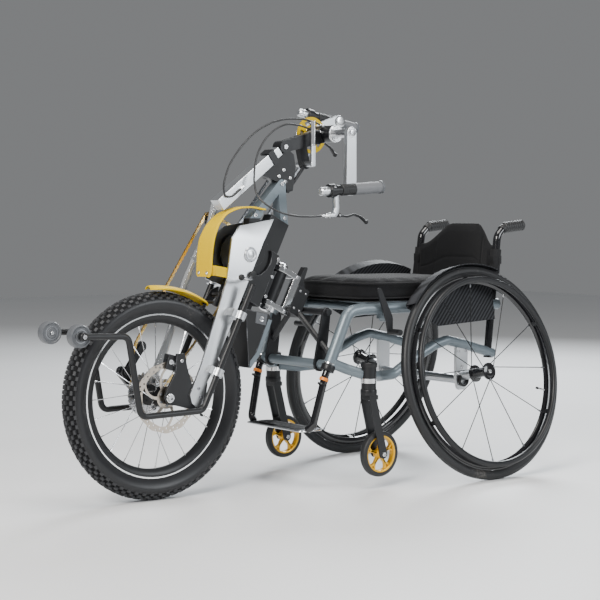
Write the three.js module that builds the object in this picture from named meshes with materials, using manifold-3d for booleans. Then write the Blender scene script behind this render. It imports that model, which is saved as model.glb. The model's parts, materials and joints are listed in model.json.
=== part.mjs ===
// A three-wheeled handcycle: a front drive unit docked to a rigid-frame wheelchair.
//
// X points forward, Y to the rider's left and Z up, in millimetres. While the pieces are made, the origin is
// under the front wheel's contact with the floor; the whole group is then moved so that its origin is on the
// floor under the middle of the vehicle.

import * as THREE from 'three';
import { mergeVertices } from 'three/addons/utils/BufferGeometryUtils.js';
import Module from 'manifold-3d';

const wasm = await Module();
wasm.setup();

// Driving dimensions, in millimetres

// Gaps that every fit shares
const gap = 0.5;              // between pieces that turn or slide in each other
const seat = 0.3;             // between faces that are bolted together
const overrun = 3;            // how far a cutting solid passes the face that it cuts
const bite = 2;               // how deep joined solids reach into each other

// Smoothness, as counts
const tube_sides = 8;
const round_sides = 16;
const ring_sides = 30;
const hub_sides = 12;
const bend_steps = 3;

// Front wheel, turning about Y through its hub
const front = {
  radius: 264, half_width: 29, section_radius: 29, bead_radius: 209, rim_half_width: 14, rim_well: 200,
  rim_inner: 185, rim_crown_half: 5, spoke_radius: 1.4, flange_radius: 27, flange_y: 27, flange_half: 1.6,
  shell_radius: 14, shell_end: 51.5, axle_radius: 7, axle_half: 61.6,
};
const front_spoke_count = 24;
const front_spoke_lean_deg = 38;

// Brake rotor and caliper
const rotor = { y0: 52, y1: 54, outer: 90, track: 72, ring: 28, arm: 7 };
const rotor_arm_count = 6;
const caliper = { radius: 88, half_length: 27, half_height: 19, y0: 40, y1: 62.2, slot: 1.1, reach: 94 };
const caliper_angle_deg = 105.6;

// Cassette: radii of its steps along Y
const cassette = { bore: 8, big: 60, mid: 44, cog: 35.6, small: 28, y0: -34, y1: -40, y2: -51.1, y3: -59, y4: -61.4 };

// Steering axis: a point on it, under the yoke's cap, and its lean back from upright
const head = { x: -377, z: 531 };
const head_lean_deg = 26.5;
const column = {
  back: 50, front: 130, half_width: 43.6, bottom: -80, top: 70, neck_back: 40, neck_front: 104, neck_half: 17.6,
  neck_top: 165, foot_back: 56, foot_front: 84, foot_half: 22, foot_bottom: -98, tube_radius: 22, tube_half: 42, web_half_width: 12, web_half_height: 36,
};
const yoke = {
  pad_radius: 24, pad_in: 42.5, pad_out: 57, cap_radius: 17, cap_top: 66, back: 58, inner_back: 36, half_width: 24,
};

// Fork plate outline, [x, z]; the first four points bound the folded top, fold lines run between opposite edges
const plate = {
  thickness: 6, outer_y: 50, top_drop: 25, foot_out: 26, splay_length: 230,
  tip: [-358, 712], crown: [-238, 694], shoulder: [-204, 662], waist_front: [-188, 555], waist_back: [-248, 533],
  shoulder_back: [-304, 651], toe: [-56, 269], toe_round: [-62, 247], toe_low: [-78, 236], heel_round: [-94, 244],
  heel: [-103, 289],
};
const dropout = {
  y0: 62.5, y1: 69.6,
  outline: [[-114, 296], [-66, 296], [-52, 338], [-44, 374], [-20, 374], [-16, 326], [8, 286], [16, 266], [8, 248],
    [-18, 244], [-70, 230], [-106, 234]],
  right_outline: [[-114, 292], [-60, 298], [-22, 296], [10, 284], [16, 264], [6, 248], [-18, 244], [-70, 230],
    [-112, 236]],
};

// Right leg: a bent tube from the boom to the dropout, with the idler's pin and the tie to the upper plate
const leg = {
  radius: 10, bend: 24, lug_radius: 9, lug: [-212, 760], lug_y0: -37,
  route: [[-213, -38, 762], [-196, -38, 700], [-183, -73, 628], [-140, -75, 540], [-80, -75, 371], [-36, -75, 284]],
  tie_x0: -205, tie_x1: -163, tie_z0: 597, tie_z1: 611, tie_y: -80,
};

// Motor: a drum with narrower ends, and a lug for the strut on top
const motor = {
  x: -282, z: 620, radius: 56, half_width: 34, end_radius: 31, end_half: 43.6, lug_back: -322, lug_front: -286,
  lug_half: 13, lug_top: 714,
};
const motor_shaft = { radius: 10, hole: 13 };

// Battery case behind the wheel
const battery = {
  half_width: 38,
  outline: [[-258, 478], [-334, 462], [-346, 446], [-302, 350], [-276, 322], [-268, 322], [-262, 400]],
};

// Chains: pitch radius of each wheel and the plane of each chain
const chain = { half_width: 3.5, half_height: 4, relief: 1 };
const sprocket_half = 1.5;
const upper_chain = { y: -63, crank_radius: 30, motor_radius: 30 };
const lower_chain = {
  y: -55, ring_radius: 62, idler_radius: 16, idler: [-205, 712], jockey_radius: 20, tension: [5, 385],
  guide: [50, 322], cog_radius: 40,
};
const idler = { pin_radius: 5, hub_radius: 9 };

// Crank axis and what turns on it
const crank = {
  x: -549, z: 944, axle_radius: 12, arm_y0: 103, arm_y1: 117, axle_end: 119, length: 150, boss_radius: 16,
  eye_radius: 18, waist: 13, disc_radius: 50, disc_y0: -57, disc_y1: -54, hub_radius: 18,
};

// Handle: a bar square to its spindle, just outside the arm. Distances along it are from the spindle,
// towards the grip's end positive; the horn that carries the lever hangs from the clamp.
const handle = {
  core: 12, bar_y: 137, head_radius: 16, head_start: 97, head_end: 102.5, grip_radius: 16, grip_start: -2,
  grip_end: 80, flange_radius: 18, flange_end: 88, rubber_radius: 15.4, rubber_start: -56, neck_radius: 13.5,
  clamp_radius: 18, clamp_start: -76, clamp_end: -97, cap_radius: 11.4, cap_end: -126, horn_half: 7, horn_drop: 58,
  horn_back: -64, horn_front: -84, nose_back: -76, nose_front: -112, nose_low: 71, nose_high: 56, nose_half: 6,
};
const handle_tilt_deg = 4.3;
const right_handle_tilt_deg = -10;
// How far the right crank stands ahead of the left one, turned about the axle
const right_crank_turn_deg = 108;
const lever = {
  pivot: -66, pivot_z: -66, radius: 4.5, half_width: 6,
  route: [[0, -68, -66], [0, -40, -71], [0, -14, -67], [0, 8, -75], [0, 28, -91]], bend: 18,
};

// Boom: a box tube leaning up towards the rider; its rear end and its length
const boom = {
  x: -353, z: 868, length: 202, half_width: 18, half_height: 16, wall: 3, socket: 100, inner_out: 43, inner_in: 60,
};
const boom_angle_deg = 36.8;

// Crank carrier, in the boom's frame: x forward along the boom, z above it
const carrier = {
  half_width: 14, bearing_radius: 24, bearing_half: 48, knuckle: -61, knuckle_radius: 17, knuckle_half: 17.6,
  arm_radius: 15, arm_end_radius: 20, collar_front: -2, collar_back: -22, collar_half_width: 18.4, collar_top: 19,
  gusset: [[46, -16.6], [-3, -16.6], [-3, -14], [-22, -14], [-40, -10], [-66, -8], [-74, -34], [-60, -64], [-14, -110], [2, -104], [0, -84],
    [14, -60]],
};
const release = {
  x: -480, z: 861, shaft_radius: 8, eye_radius: 14, half_length: 28, plate_y: 34, plate_thick: 6, plate_half: 7,
  plate_top: 912, sleeve_radius: 6.5, sleeve_top: 976, ear_half: 8,
};
const stay = { radius: 4.5, y: 9, top: [-470, 852], bottom: [-415, 786] };

// Inverted V strut under the boom
const strut = { apex: [-392, 806], front_foot: [-304, 714.4], back_foot: [-401, 706], half_width: 15, half_depth: 12 };

// Chain guard band: [x, z, right edge y, left edge y] down the middle of its face
const guard = {
  thickness: 2.5,
  rows: [[-152, 562, -34, 26], [-154, 570, -38, 30], [-156, 620, -38, 30], [-162, 660, -38, 30],
    [-176, 696, -26, 30], [-200, 724, -12, 29], [-240, 739, -2, 27], [-262, 741, 8, 26], [-290, 742, 16, 25], [-330, 736, 16.5, 25]],
  leaf: [[-157.5, 592], [-157.5, 566], [-206, 558], [-206, 584]], leaf_y0: 41, leaf_y1: 43.5, tab_back: -160,
  tab_front: -156, tab_y0: 22, tab_z0: 566, tab_z1: 592,
};

// Mudguard over the tyre, at a clearance from it, and its bracket to the left plate
const mudguard = { clearance: 12, thickness: 2.5, half_width: 31, bracket: [[-200, 536], [-176, 528], [-150, 492],
  [-162, 486], [-196, 512]], bracket_y: 45.2, bracket_y0: -8 };
const mudguard_radius = front.radius + mudguard.clearance;
const mudguard_start_deg = 86;
const mudguard_end_deg = 124;

// Stand: each leg turns about its own leaning tube; collars hold it
const stand = {
  y: 90, radius: 8, bend: 24, top_z: 542, top_x: -241, foot_z: 229, reach: [100, 226], knee: [136, 426],
  axle: [262, 430], collar_radius: 14, collar_half: 10, pin_radius: 5, roller_radius: 28, roller_y0: 57,
  roller_y1: 81.6, pin_end: 54, block_forward: 26, block_back: 7, plate_reach: 74,
};
const left_collar_heights = [464, 322];
const right_collar_heights = [545, 264];

// Cables: points along their centre lines
const cable = {
  radius: 2.6, bend: 30,
  brake: [[-441.8, 137, 722.3], [-425, 137, 720.8], [-392, 136, 719], [-352, 130, 719.5], [-316, 113, 727], [-290, 86, 745],
    [-276, 58, 772], [-278, 42, 806], [-285, 36, 850], [-296, 34, 885], [-320, 34, 922], [-355, 32, 950],
    [-400, 28, 966], [-450, 26, 962], [-490, 26, 951], [-524.6, 26, 947]],
  control: [[-262, 20.9, 797], [-222, 20.9, 768], [-199, 22, 770], [-194, 23, 800], [-210, 24, 850],
    [-248, 23, 898], [-298, 19, 940], [-352, 15, 966], [-400, 14, 978], [-460, 14, 982], [-508, 14, 974],
    [-532.8, 14, 963.4]],
};

// Dock: block, cross tube, clamps on the front cross tube and struts to the legs
const dock = {
  block_front: -58.5, block_back: -100, block_half: 25, block_bottom: -44, block_top: 34, tube: [-474, 466],
  tube_radius: 9, tube_half: 118, strut_radius: 8, strut_from: [-448, 16, 462], strut_to: [-461, 126, 364],
  plate_y: 105, plate_half: 3, clamp_radius: 20,
};
const dock_lever = {
  x: -462, z: 541, y0: -10, y1: 10, radius: 9, length: 42, half: 5, pin: 4, ear_y: 14, ear_base: [-466, 520],
};
const dock_lever_rest_deg = 118;

// Wheelchair frame: left side, mirrored for the right
const frame = {
  rail_radius: 16, lower_radius: 14, cross_radius: 13, rear_radius: 11, bend: 52, lower_bend: 40,
  rail: [[-445, 145, 314], [-512, 150, 468], [-560, 152, 474], [-1062, 163, 474]],
  feeder: [[-458, 148, 334], [-492, 168, 318], [-527, 197, 304]],
  lower: [[-549, 196, 298], [-604, 168, 292], [-662, 165, 294], [-712, 165, 322], [-812, 165, 366], [-862, 165, 378],
    [-930, 165, 364], [-1046, 163, 333]],
  cross: [-452, 328], rear_cross: [-985, 474], socket_depth: 60, lock_x: -630, lock_z: 448, lock_radius: 10,
  lock_y: 178,
};
const footrest = {
  radius: 10, neck: 14, knee: [-407, 134, 168], foot: [-402, 118, 158], bend: 20, plate_back: -455,
  plate_front: -378, plate_z0: 152, plate_z1: 157, mat_z1: 158.6,
  mat_edge: 5, mat_half: 102,
};

// Rear wheels: hub centre on the left, turned by the camber
const rear = {
  x: -921, y: 247, z: 291, radius: 297, half_width: 13, section_radius: 13, bead_radius: 272, rim_half_width: 7,
  rim_well: 262, rim_inner: 249, rim_crown_half: 4, hub_radius: 15, hub_half: 31, flange_radius: 24, flange_y: 27,
  flange_half: 2.5, spoke_radius: 1.6, pushrim_radius: 257, pushrim_section: 9, pushrim_y: 31, tab_radius: 3,
};
const camber_deg = 11.4;
const rear_spoke_count = 12;
const pushrim_tab_count = 6;
const axle = {
  tube_radius: 13, tube_half: 160, plate_y0: 161, plate_y1: 169, plate_back: -942, plate_front: -898, plate_top: 356,
  plate_low: 236, tube_z: 264, sleeve_radius: 13, sleeve_start: -84, sleeve_end: -31.4,
};
const side_guard = {
  y0: -27, y1: -24.5, inner: 302.5, outer: 305, lip: 14,
  corner_low_back: [-104, 150], corner_low_front: [120, 138], corner_front: [226, 190], standoff_radius: 8,
  standoff_x: [130, -60],
};
const side_guard_start_deg = 41;
const side_guard_end_deg = 111;

// Casters
const caster = {
  x: -538, y: 206, axle_x: -577, axle_z: 90, radius: 62, half_width: 12, bore: 6, housing_radius: 20, housing_top: 332,
  housing_bottom: 254, stem_radius: 10, leg_thickness: 5, leg_gap: 14.5, crown_top: 250, crown_bottom: 238,
  leg_half: 12, axle_radius: 5, hub_recess: 5, rim_radius: 44,
};

// Seat and back
const sling = { front: -566, back: -1010, half_width: 160, z0: 490.3, z1: 493.7 };
const cushion = { front: -556, back: -984, half_width: 166, z0: 494, height: 52, round: 22, crown: 6, drawn: 7 };
const backrest = {
  half_width: 149, bottom: 500, shoulder: 640, top: 702, centre_half: 96, thickness: 20, bulge: 34, sleeve: 15,
  sleeve_bottom: 512, sleeve_top: 632, forward: 4,
};
const cane = {
  radius: 11, foot_low: [-1023.5, 162.5, 290], foot: [-1027, 162, 321], knee: [-1066, 158, 668], grip_start: [-1092, 157, 692],
  grip_end: [-1172, 157, 700], bend: 30, grip_radius: 16, bulb_radius: 18,
};
const wheel_lock = {
  plate_y0: 178.4, plate_y1: 184, pivot_radius: 12, handle_tip: [-594, 524], handle_half: 7, stub: [-634, 412],
  stub_radius: 8, stub_end: 224, arm_half: 8,
};

// Materials

const finish = (color, roughness, metalness) => new THREE.MeshStandardMaterial({ color, roughness, metalness });
const black_metal = () => finish(0x17181a, 0.5, 0.4);
const silver_metal = () => finish(0xc9ccce, 0.32, 0.9);
const polished_metal = () => finish(0xdcdee0, 0.14, 1.0);
const grey_paint = () => finish(0x8797a0, 0.42, 0.35);
const yellow_paint = () => finish(0xf4c400, 0.4, 0.0);
const black_plastic = () => finish(0x141517, 0.55, 0.0);
const black_rubber = () => finish(0x232427, 0.85, 0.0);
const chain_steel = () => finish(0x9a8048, 0.35, 0.9);
const steel = () => finish(0xb4b6b8, 0.3, 0.95);
const black_fabric = () => finish(0x16171a, 0.9, 0.0);
const carbon = () => finish(0x1b1c1e, 0.28, 0.2);
const grip_grey = () => finish(0x6c7176, 0.6, 0.0);

// Solids

/** A closed geometry as a solid, turned so that its faces point out. */
function solid(geometry) {
  geometry.deleteAttribute('normal');
  geometry.deleteAttribute('uv');
  const merged = mergeVertices(geometry, 1e-4);
  const vertProperties = new Float32Array(merged.attributes.position.array);
  const triVerts = new Uint32Array(merged.index.array);
  const p = (i, k) => vertProperties[3 * triVerts[i] + k];
  let volume = 0;
  for (let i = 0; i < triVerts.length; i += 3) {
    volume += p(i, 0) * (p(i + 1, 1) * p(i + 2, 2) - p(i + 1, 2) * p(i + 2, 1))
      + p(i, 1) * (p(i + 1, 2) * p(i + 2, 0) - p(i + 1, 0) * p(i + 2, 2))
      + p(i, 2) * (p(i + 1, 0) * p(i + 2, 1) - p(i + 1, 1) * p(i + 2, 0));
  }
  if (volume < 0) {
    for (let i = 0; i < triVerts.length; i += 3) {
      const first = triVerts[i];
      triVerts[i] = triVerts[i + 1];
      triVerts[i + 1] = first;
    }
  }
  return new wasm.Manifold(new wasm.Mesh({ numProp: 3, vertProperties, triVerts }));
}

/** All the solids joined into one. */
function join(parts) {
  return parts.reduce((sum, part) => sum.add(part));
}

/** A named mesh made from a solid, in the given group. */
function addPiece(group, name, body, material) {
  const mesh = body.getMesh();
  const count = mesh.vertProperties.length / mesh.numProp;
  const position = new Float32Array(3 * count);
  for (let i = 0; i < count; i += 1) {
    for (let k = 0; k < 3; k += 1) {
      position[3 * i + k] = mesh.vertProperties[mesh.numProp * i + k];
    }
  }
  const indexed = new THREE.BufferGeometry();
  indexed.setAttribute('position', new THREE.BufferAttribute(position, 3));
  indexed.setIndex(new THREE.BufferAttribute(new Uint32Array(mesh.triVerts), 1));
  const geometry = indexed.toNonIndexed();
  geometry.computeVertexNormals();
  const piece = new THREE.Mesh(geometry, material);
  piece.name = name;
  group.add(piece);
  return piece;
}

/** A solid moved by a position and then turned about Y by an angle in radians, as placed in the world. */
function placed(body, x, y, z, turn_y = 0, turn_x = 0, turn_z = 0) {
  const degrees = 180 / Math.PI;
  return body.rotate([turn_x * degrees, turn_y * degrees, turn_z * degrees]).translate([x, y, z]);
}

/** The same solid on the other side of the vehicle. */
function mirrored(body) {
  return body.mirror([0, 1, 0]);
}

const radians = (angle) => angle * Math.PI / 180;

/** A box between two corners. */
function box(x0, x1, y0, y1, z0, z1) {
  const geometry = new THREE.BoxGeometry(Math.abs(x1 - x0), Math.abs(y1 - y0), Math.abs(z1 - z0));
  geometry.translate((x0 + x1) / 2, (y0 + y1) / 2, (z0 + z1) / 2);
  return solid(geometry);
}

/** An outline in X and Z, carried along Y from y0 to y1. */
function slab(outline, y0, y1) {
  const shape = new THREE.Shape(outline.map(([x, z]) => new THREE.Vector2(x, z)));
  const geometry = new THREE.ExtrudeGeometry(shape, { depth: Math.abs(y1 - y0), bevelEnabled: false, steps: 1 });
  geometry.rotateX(Math.PI / 2);
  geometry.translate(0, Math.max(y0, y1), 0);
  return solid(geometry);
}

/** A cylinder along Y with its axis at x and z. */
function drum(x, z, radius, y0, y1, sides = round_sides) {
  const geometry = new THREE.CylinderGeometry(radius, radius, Math.abs(y1 - y0), sides);
  geometry.translate(x, (y0 + y1) / 2, z);
  return solid(geometry);
}

/** A cylinder along Z with its axis at x and y. */
function post(x, y, radius, z0, z1, sides = round_sides) {
  const geometry = new THREE.CylinderGeometry(radius, radius, Math.abs(z1 - z0), sides);
  geometry.rotateX(Math.PI / 2);
  geometry.translate(x, y, (z0 + z1) / 2);
  return solid(geometry);
}

/** A round rod between two points. */
function rod(from, to, radius, sides = tube_sides) {
  const a = new THREE.Vector3(...from);
  const b = new THREE.Vector3(...to);
  const geometry = new THREE.CylinderGeometry(radius, radius, a.distanceTo(b), sides);
  const turn = new THREE.Quaternion().setFromUnitVectors(
    new THREE.Vector3(0, 1, 0), b.clone().sub(a).normalize());
  geometry.applyQuaternion(turn);
  const middle = a.add(b).multiplyScalar(0.5);
  geometry.translate(middle.x, middle.y, middle.z);
  return solid(geometry);
}

/** A ring or a turned piece about Y, from its section in [radius, y]. */
function turned(section, sides = ring_sides) {
  const points = section.map(([r, y]) => new THREE.Vector2(r, y));
  return solid(new THREE.LatheGeometry(points, sides));
}

/** The corner points of a path, with each inner corner rounded by an arc of the given radius. */
function roundedPath(corners, radius, steps = bend_steps) {
  const p = corners.map((corner) => new THREE.Vector3(...corner));
  const path = [p[0]];
  for (let i = 1; i < p.length - 1; i += 1) {
    const into = p[i].clone().sub(p[i - 1]);
    const out = p[i + 1].clone().sub(p[i]);
    const half_turn = into.angleTo(out) / 2;
    const most = 0.45 * Math.min(into.length(), out.length());
    const cut = Math.min(radius * Math.tan(half_turn), most);
    if (half_turn < 0.02) {
      path.push(p[i]);
    } else {
      const start = p[i].clone().addScaledVector(into.normalize(), -cut);
      const end = p[i].clone().addScaledVector(out.normalize(), cut);
      const curve = new THREE.QuadraticBezierCurve3(start, p[i], end);
      path.push(...curve.getPoints(steps));
    }
  }
  path.push(p[p.length - 1]);
  return path;
}

/** A path through given points, which a section is carried along with a ring at each point. */
class PointPath extends THREE.Curve {
  constructor(points) {
    super();
    this.points = points;
  }

  getPoint(t, target = new THREE.Vector3()) {
    const last = this.points.length - 1;
    const at = Math.min(Math.floor(t * last + 1e-9), last - 1);
    return target.copy(this.points[at]).lerp(this.points[at + 1], t * last - at);
  }

  getPointAt(u, target) {
    return this.getPoint(u, target);
  }

  getSpacedPoints() {
    return this.points.map((point) => point.clone());
  }

  getTangentAt(u, target = new THREE.Vector3()) {
    const last = this.points.length - 1;
    const at = Math.round(u * last);
    const before = this.points[Math.max(at - 1, 0)];
    const here = this.points[at];
    const after = this.points[Math.min(at + 1, last)];
    const into = here.clone().sub(before).normalize();
    const out = after.clone().sub(here).normalize();
    return target.copy(into).add(out).normalize();
  }
}

/** A round tube along a path of points. */
function tube(path, radius, sides = tube_sides) {
  const section = [];
  for (let i = 0; i < sides; i += 1) {
    const angle = 2 * Math.PI * i / sides;
    section.push(new THREE.Vector2(radius * Math.cos(angle), radius * Math.sin(angle)));
  }
  const options = { steps: path.length - 1, bevelEnabled: false, extrudePath: new PointPath(path) };
  return solid(new THREE.ExtrudeGeometry(new THREE.Shape(section), options));
}

/** A solid between two grids of points of the same size: a front face and a back face. */
function sheet(front_face, back_face) {
  const rows = front_face.length;
  const columns = front_face[0].length;
  const position = [];
  const quad = (a, b, c, d) => position.push(...a, ...b, ...c, ...a, ...c, ...d);
  for (let i = 0; i < rows - 1; i += 1) {
    for (let j = 0; j < columns - 1; j += 1) {
      quad(front_face[i][j], front_face[i + 1][j], front_face[i + 1][j + 1], front_face[i][j + 1]);
      quad(back_face[i][j], back_face[i][j + 1], back_face[i + 1][j + 1], back_face[i + 1][j]);
    }
  }
  for (let i = 0; i < rows - 1; i += 1) {
    const last = columns - 1;
    quad(front_face[i][0], back_face[i][0], back_face[i + 1][0], front_face[i + 1][0]);
    quad(front_face[i][last], front_face[i + 1][last], back_face[i + 1][last], back_face[i][last]);
  }
  for (let j = 0; j < columns - 1; j += 1) {
    const last = rows - 1;
    quad(front_face[0][j], front_face[0][j + 1], back_face[0][j + 1], back_face[0][j]);
    quad(front_face[last][j], back_face[last][j], back_face[last][j + 1], front_face[last][j + 1]);
  }
  const geometry = new THREE.BufferGeometry();
  geometry.setAttribute('position', new THREE.BufferAttribute(new Float32Array(position), 3));
  return solid(geometry);
}

/** A solid between rings of points, the last ring joined to the first. */
function closedLoop(rings) {
  const position = [];
  rings.forEach((ring, i) => {
    const next = rings[(i + 1) % rings.length];
    ring.forEach((point, k) => {
      const m = (k + 1) % ring.length;
      position.push(...point, ...ring[m], ...next[m], ...point, ...next[m], ...next[k]);
    });
  });
  const geometry = new THREE.BufferGeometry();
  geometry.setAttribute('position', new THREE.BufferAttribute(new Float32Array(position), 3));
  return solid(geometry);
}

/** The outline of two circles of different radius joined by their outer tangents, as [x, z]. */
function linkOutline(a, radius_a, b, radius_b, steps = 5) {
  const along = Math.atan2(b[1] - a[1], b[0] - a[0]);
  const distance = Math.hypot(b[0] - a[0], b[1] - a[1]);
  const lean = Math.acos((radius_a - radius_b) / distance);
  const outline = [];
  for (let i = 0; i <= steps; i += 1) {
    const angle = along + lean + (2 * Math.PI - 2 * lean) * i / steps;
    outline.push([a[0] + radius_a * Math.cos(angle), a[1] + radius_a * Math.sin(angle)]);
  }
  for (let i = 0; i <= steps; i += 1) {
    const angle = along - lean + 2 * lean * i / steps;
    outline.push([b[0] + radius_b * Math.cos(angle), b[1] + radius_b * Math.sin(angle)]);
  }
  return outline;
}

// Frames of reference

const head_lean = radians(head_lean_deg);
const boom_angle = radians(boom_angle_deg);
const camber = radians(camber_deg);

/** A solid made along the steering axis (x forward of it, z up it), placed on the vehicle. */
const onHead = (body) => placed(body, head.x, 0, head.z, -head_lean);

/** A solid made along the boom (x forward from its rear end, z above it), placed on the vehicle. */
const onBoom = (body) => placed(body, boom.x, 0, boom.z, boom_angle);

/** A place on the vehicle as [x, z] along the boom. */
function boomPlace(x, z) {
  const dx = x - boom.x;
  const dz = z - boom.z;
  return [dx * Math.cos(boom_angle) - dz * Math.sin(boom_angle), dx * Math.sin(boom_angle) + dz * Math.cos(boom_angle)];
}

/** The height of the stand's leaning tube turned into its place: x at height z. */
const standX = (z) => stand.top_x + (stand.top_z - z) * Math.tan(head_lean);

// Wheels

/** Section of a tyre: a round outer side, flat where it meets the rim. */
function tyreSection(wheel) {
  const section = [];
  const steps = 7;
  const centre = wheel.radius - wheel.section_radius;
  const open = Math.acos((wheel.bead_radius + seat - centre) / wheel.section_radius);
  for (let i = 0; i <= steps; i += 1) {
    const angle = open * (2 * i / steps - 1);
    section.push([centre + wheel.section_radius * Math.cos(angle), wheel.half_width * Math.sin(angle)]);
  }
  section.push(section[0]);
  return section;
}

/** Section of a rim: bead face, shoulders and a narrow crown that the spokes enter. */
function rimSection(wheel) {
  return [
    [wheel.bead_radius, -wheel.rim_half_width], [wheel.bead_radius, wheel.rim_half_width],
    [wheel.rim_well, wheel.rim_half_width], [wheel.rim_inner, wheel.rim_crown_half],
    [wheel.rim_inner, -wheel.rim_crown_half], [wheel.rim_well, -wheel.rim_half_width],
    [wheel.bead_radius, -wheel.rim_half_width],
  ];
}

/** Spokes from two flanges to the rim; each leaves its flange leaning by a given angle, in turn each way. */
function spokes(wheel, count, lean_deg) {
  const list = [];
  for (let i = 0; i < count; i += 1) {
    const side = i % 2 === 0 ? 1 : -1;
    const turn = Math.floor(i / 2) % 2 === 0 ? 1 : -1;
    const at_rim = 2 * Math.PI * i / count;
    const at_hub = at_rim + turn * radians(lean_deg);
    const hub_reach = wheel.flange_radius - bite;
    const rim_reach = wheel.rim_inner + bite;
    list.push(rod(
      [hub_reach * Math.cos(at_hub), side * wheel.flange_y, hub_reach * Math.sin(at_hub)],
      [rim_reach * Math.cos(at_rim), side * wheel.spoke_radius, rim_reach * Math.sin(at_rim)],
      wheel.spoke_radius, 3));
  }
  return list;
}

/** The front wheel without its tyre: rim, spokes and hub. */
function frontWheel() {
  const flange = front.flange_y + front.flange_half;
  const neck = front.flange_y - front.flange_half;
  const half = [
    [0, front.axle_half], [front.axle_radius, front.axle_half], [front.axle_radius, front.shell_end],
    [front.shell_radius, front.shell_end], [front.shell_radius, flange], [front.flange_radius, flange],
    [front.flange_radius, neck], [front.shell_radius, neck],
  ];
  const other = [
    [front.shell_radius, -neck], [front.flange_radius, -neck], [front.flange_radius, -flange],
    [front.shell_radius, -flange], [front.axle_radius, -flange], [front.axle_radius, -front.axle_half],
    [0, -front.axle_half],
  ];
  const hub = turned([...half, ...other], hub_sides);
  return join([hub, turned(rimSection(front)), ...spokes(front, front_spoke_count, front_spoke_lean_deg)]);
}

/** The brake rotor: a track, a hub ring and the arms between them. */
function brakeRotor() {
  const ring = (inner, outer, sides) => turned([
    [inner, rotor.y0], [outer, rotor.y0], [outer, rotor.y1], [inner, rotor.y1], [inner, rotor.y0],
  ], sides);
  const parts = [
    ring(rotor.track, rotor.outer, ring_sides),
    ring(front.axle_radius + gap, rotor.ring, round_sides),
  ];
  for (let i = 0; i < rotor_arm_count; i += 1) {
    const bar = box(rotor.ring - bite, rotor.track + bite, rotor.y0, rotor.y1, -rotor.arm / 2, rotor.arm / 2);
    parts.push(placed(bar, 0, 0, 0, 2 * Math.PI * i / rotor_arm_count));
  }
  return join(parts);
}

/** The cassette: a cone of cogs, the engaged one in the lower chain's plane. */
function cassetteBody() {
  return turned([
    [cassette.bore, cassette.y0], [cassette.big, cassette.y0], [cassette.big, cassette.y1],
    [cassette.mid, cassette.y2], [cassette.cog, cassette.y2], [cassette.cog, cassette.y3],
    [cassette.small, cassette.y3], [cassette.small, cassette.y4], [cassette.bore, cassette.y4],
    [cassette.bore, cassette.y0],
  ], 20);
}

/** A rear wheel without its tyre: rim, spokes, hub and pushrim with its tabs, outer side towards +Y. */
function rearWheel() {
  const outer = rear.flange_y + rear.flange_half;
  const inner = rear.flange_y - rear.flange_half;
  const hub = turned([
    [0, rear.hub_half], [rear.hub_radius, rear.hub_half], [rear.hub_radius, outer], [rear.flange_radius, outer],
    [rear.flange_radius, inner], [rear.hub_radius, inner], [rear.hub_radius, -inner], [rear.flange_radius, -inner],
    [rear.flange_radius, -outer], [rear.hub_radius, -outer], [rear.hub_radius, -rear.hub_half],
    [0, -rear.hub_half],
  ], hub_sides);
  const section = [];
  for (let i = 0; i <= 6; i += 1) {
    const angle = 2 * Math.PI * i / 6;
    section.push([
      rear.pushrim_radius + rear.pushrim_section * Math.cos(angle),
      rear.pushrim_y + rear.pushrim_section * Math.sin(angle),
    ]);
  }
  section[6] = section[0];
  const parts = [hub, turned(rimSection(rear)), turned(section), ...spokes(rear, rear_spoke_count, 30)];
  for (let i = 0; i < pushrim_tab_count; i += 1) {
    const angle = 2 * Math.PI * (i + 0.5) / pushrim_tab_count;
    const x = rear.pushrim_radius * Math.cos(angle);
    const z = rear.pushrim_radius * Math.sin(angle);
    parts.push(drum(x, z, rear.tab_radius, 0, rear.pushrim_y, 4));
  }
  return join(parts);
}

// Drive unit

const fold_start = new THREE.Vector2(...plate.waist_front);
const fold_along = new THREE.Vector2(...plate.waist_back).sub(fold_start).normalize();
const top_start = new THREE.Vector2(...plate.shoulder);
const top_along = new THREE.Vector2(...plate.shoulder_back).sub(top_start).normalize();

/** How far a place on the plate is past a fold line, square to it. */
function pastFold(place, start, along) {
  const from_start = new THREE.Vector2(...place).sub(start);
  return from_start.cross(along);
}

/** The outer face's distance from the middle plane at a place on the plate. */
function plateFace(place) {
  const below = -pastFold(place, fold_start, fold_along);
  const above = pastFold(place, top_start, top_along);
  const tip_above = pastFold(plate.tip, top_start, top_along);
  if (above > 0) {
    return plate.outer_y - plate.top_drop * above / tip_above;
  }
  return plate.outer_y + plate.foot_out * Math.min(Math.max(below / plate.splay_length, 0), 1);
}

/** The place on an edge of the plate where its foot stops splaying. */
function splayEnd(from, to) {
  const start = -pastFold(from, fold_start, fold_along);
  const end = -pastFold(to, fold_start, fold_along);
  const share = (plate.splay_length - start) / (end - start);
  return [from[0] + (to[0] - from[0]) * share, from[1] + (to[1] - from[1]) * share];
}

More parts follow.
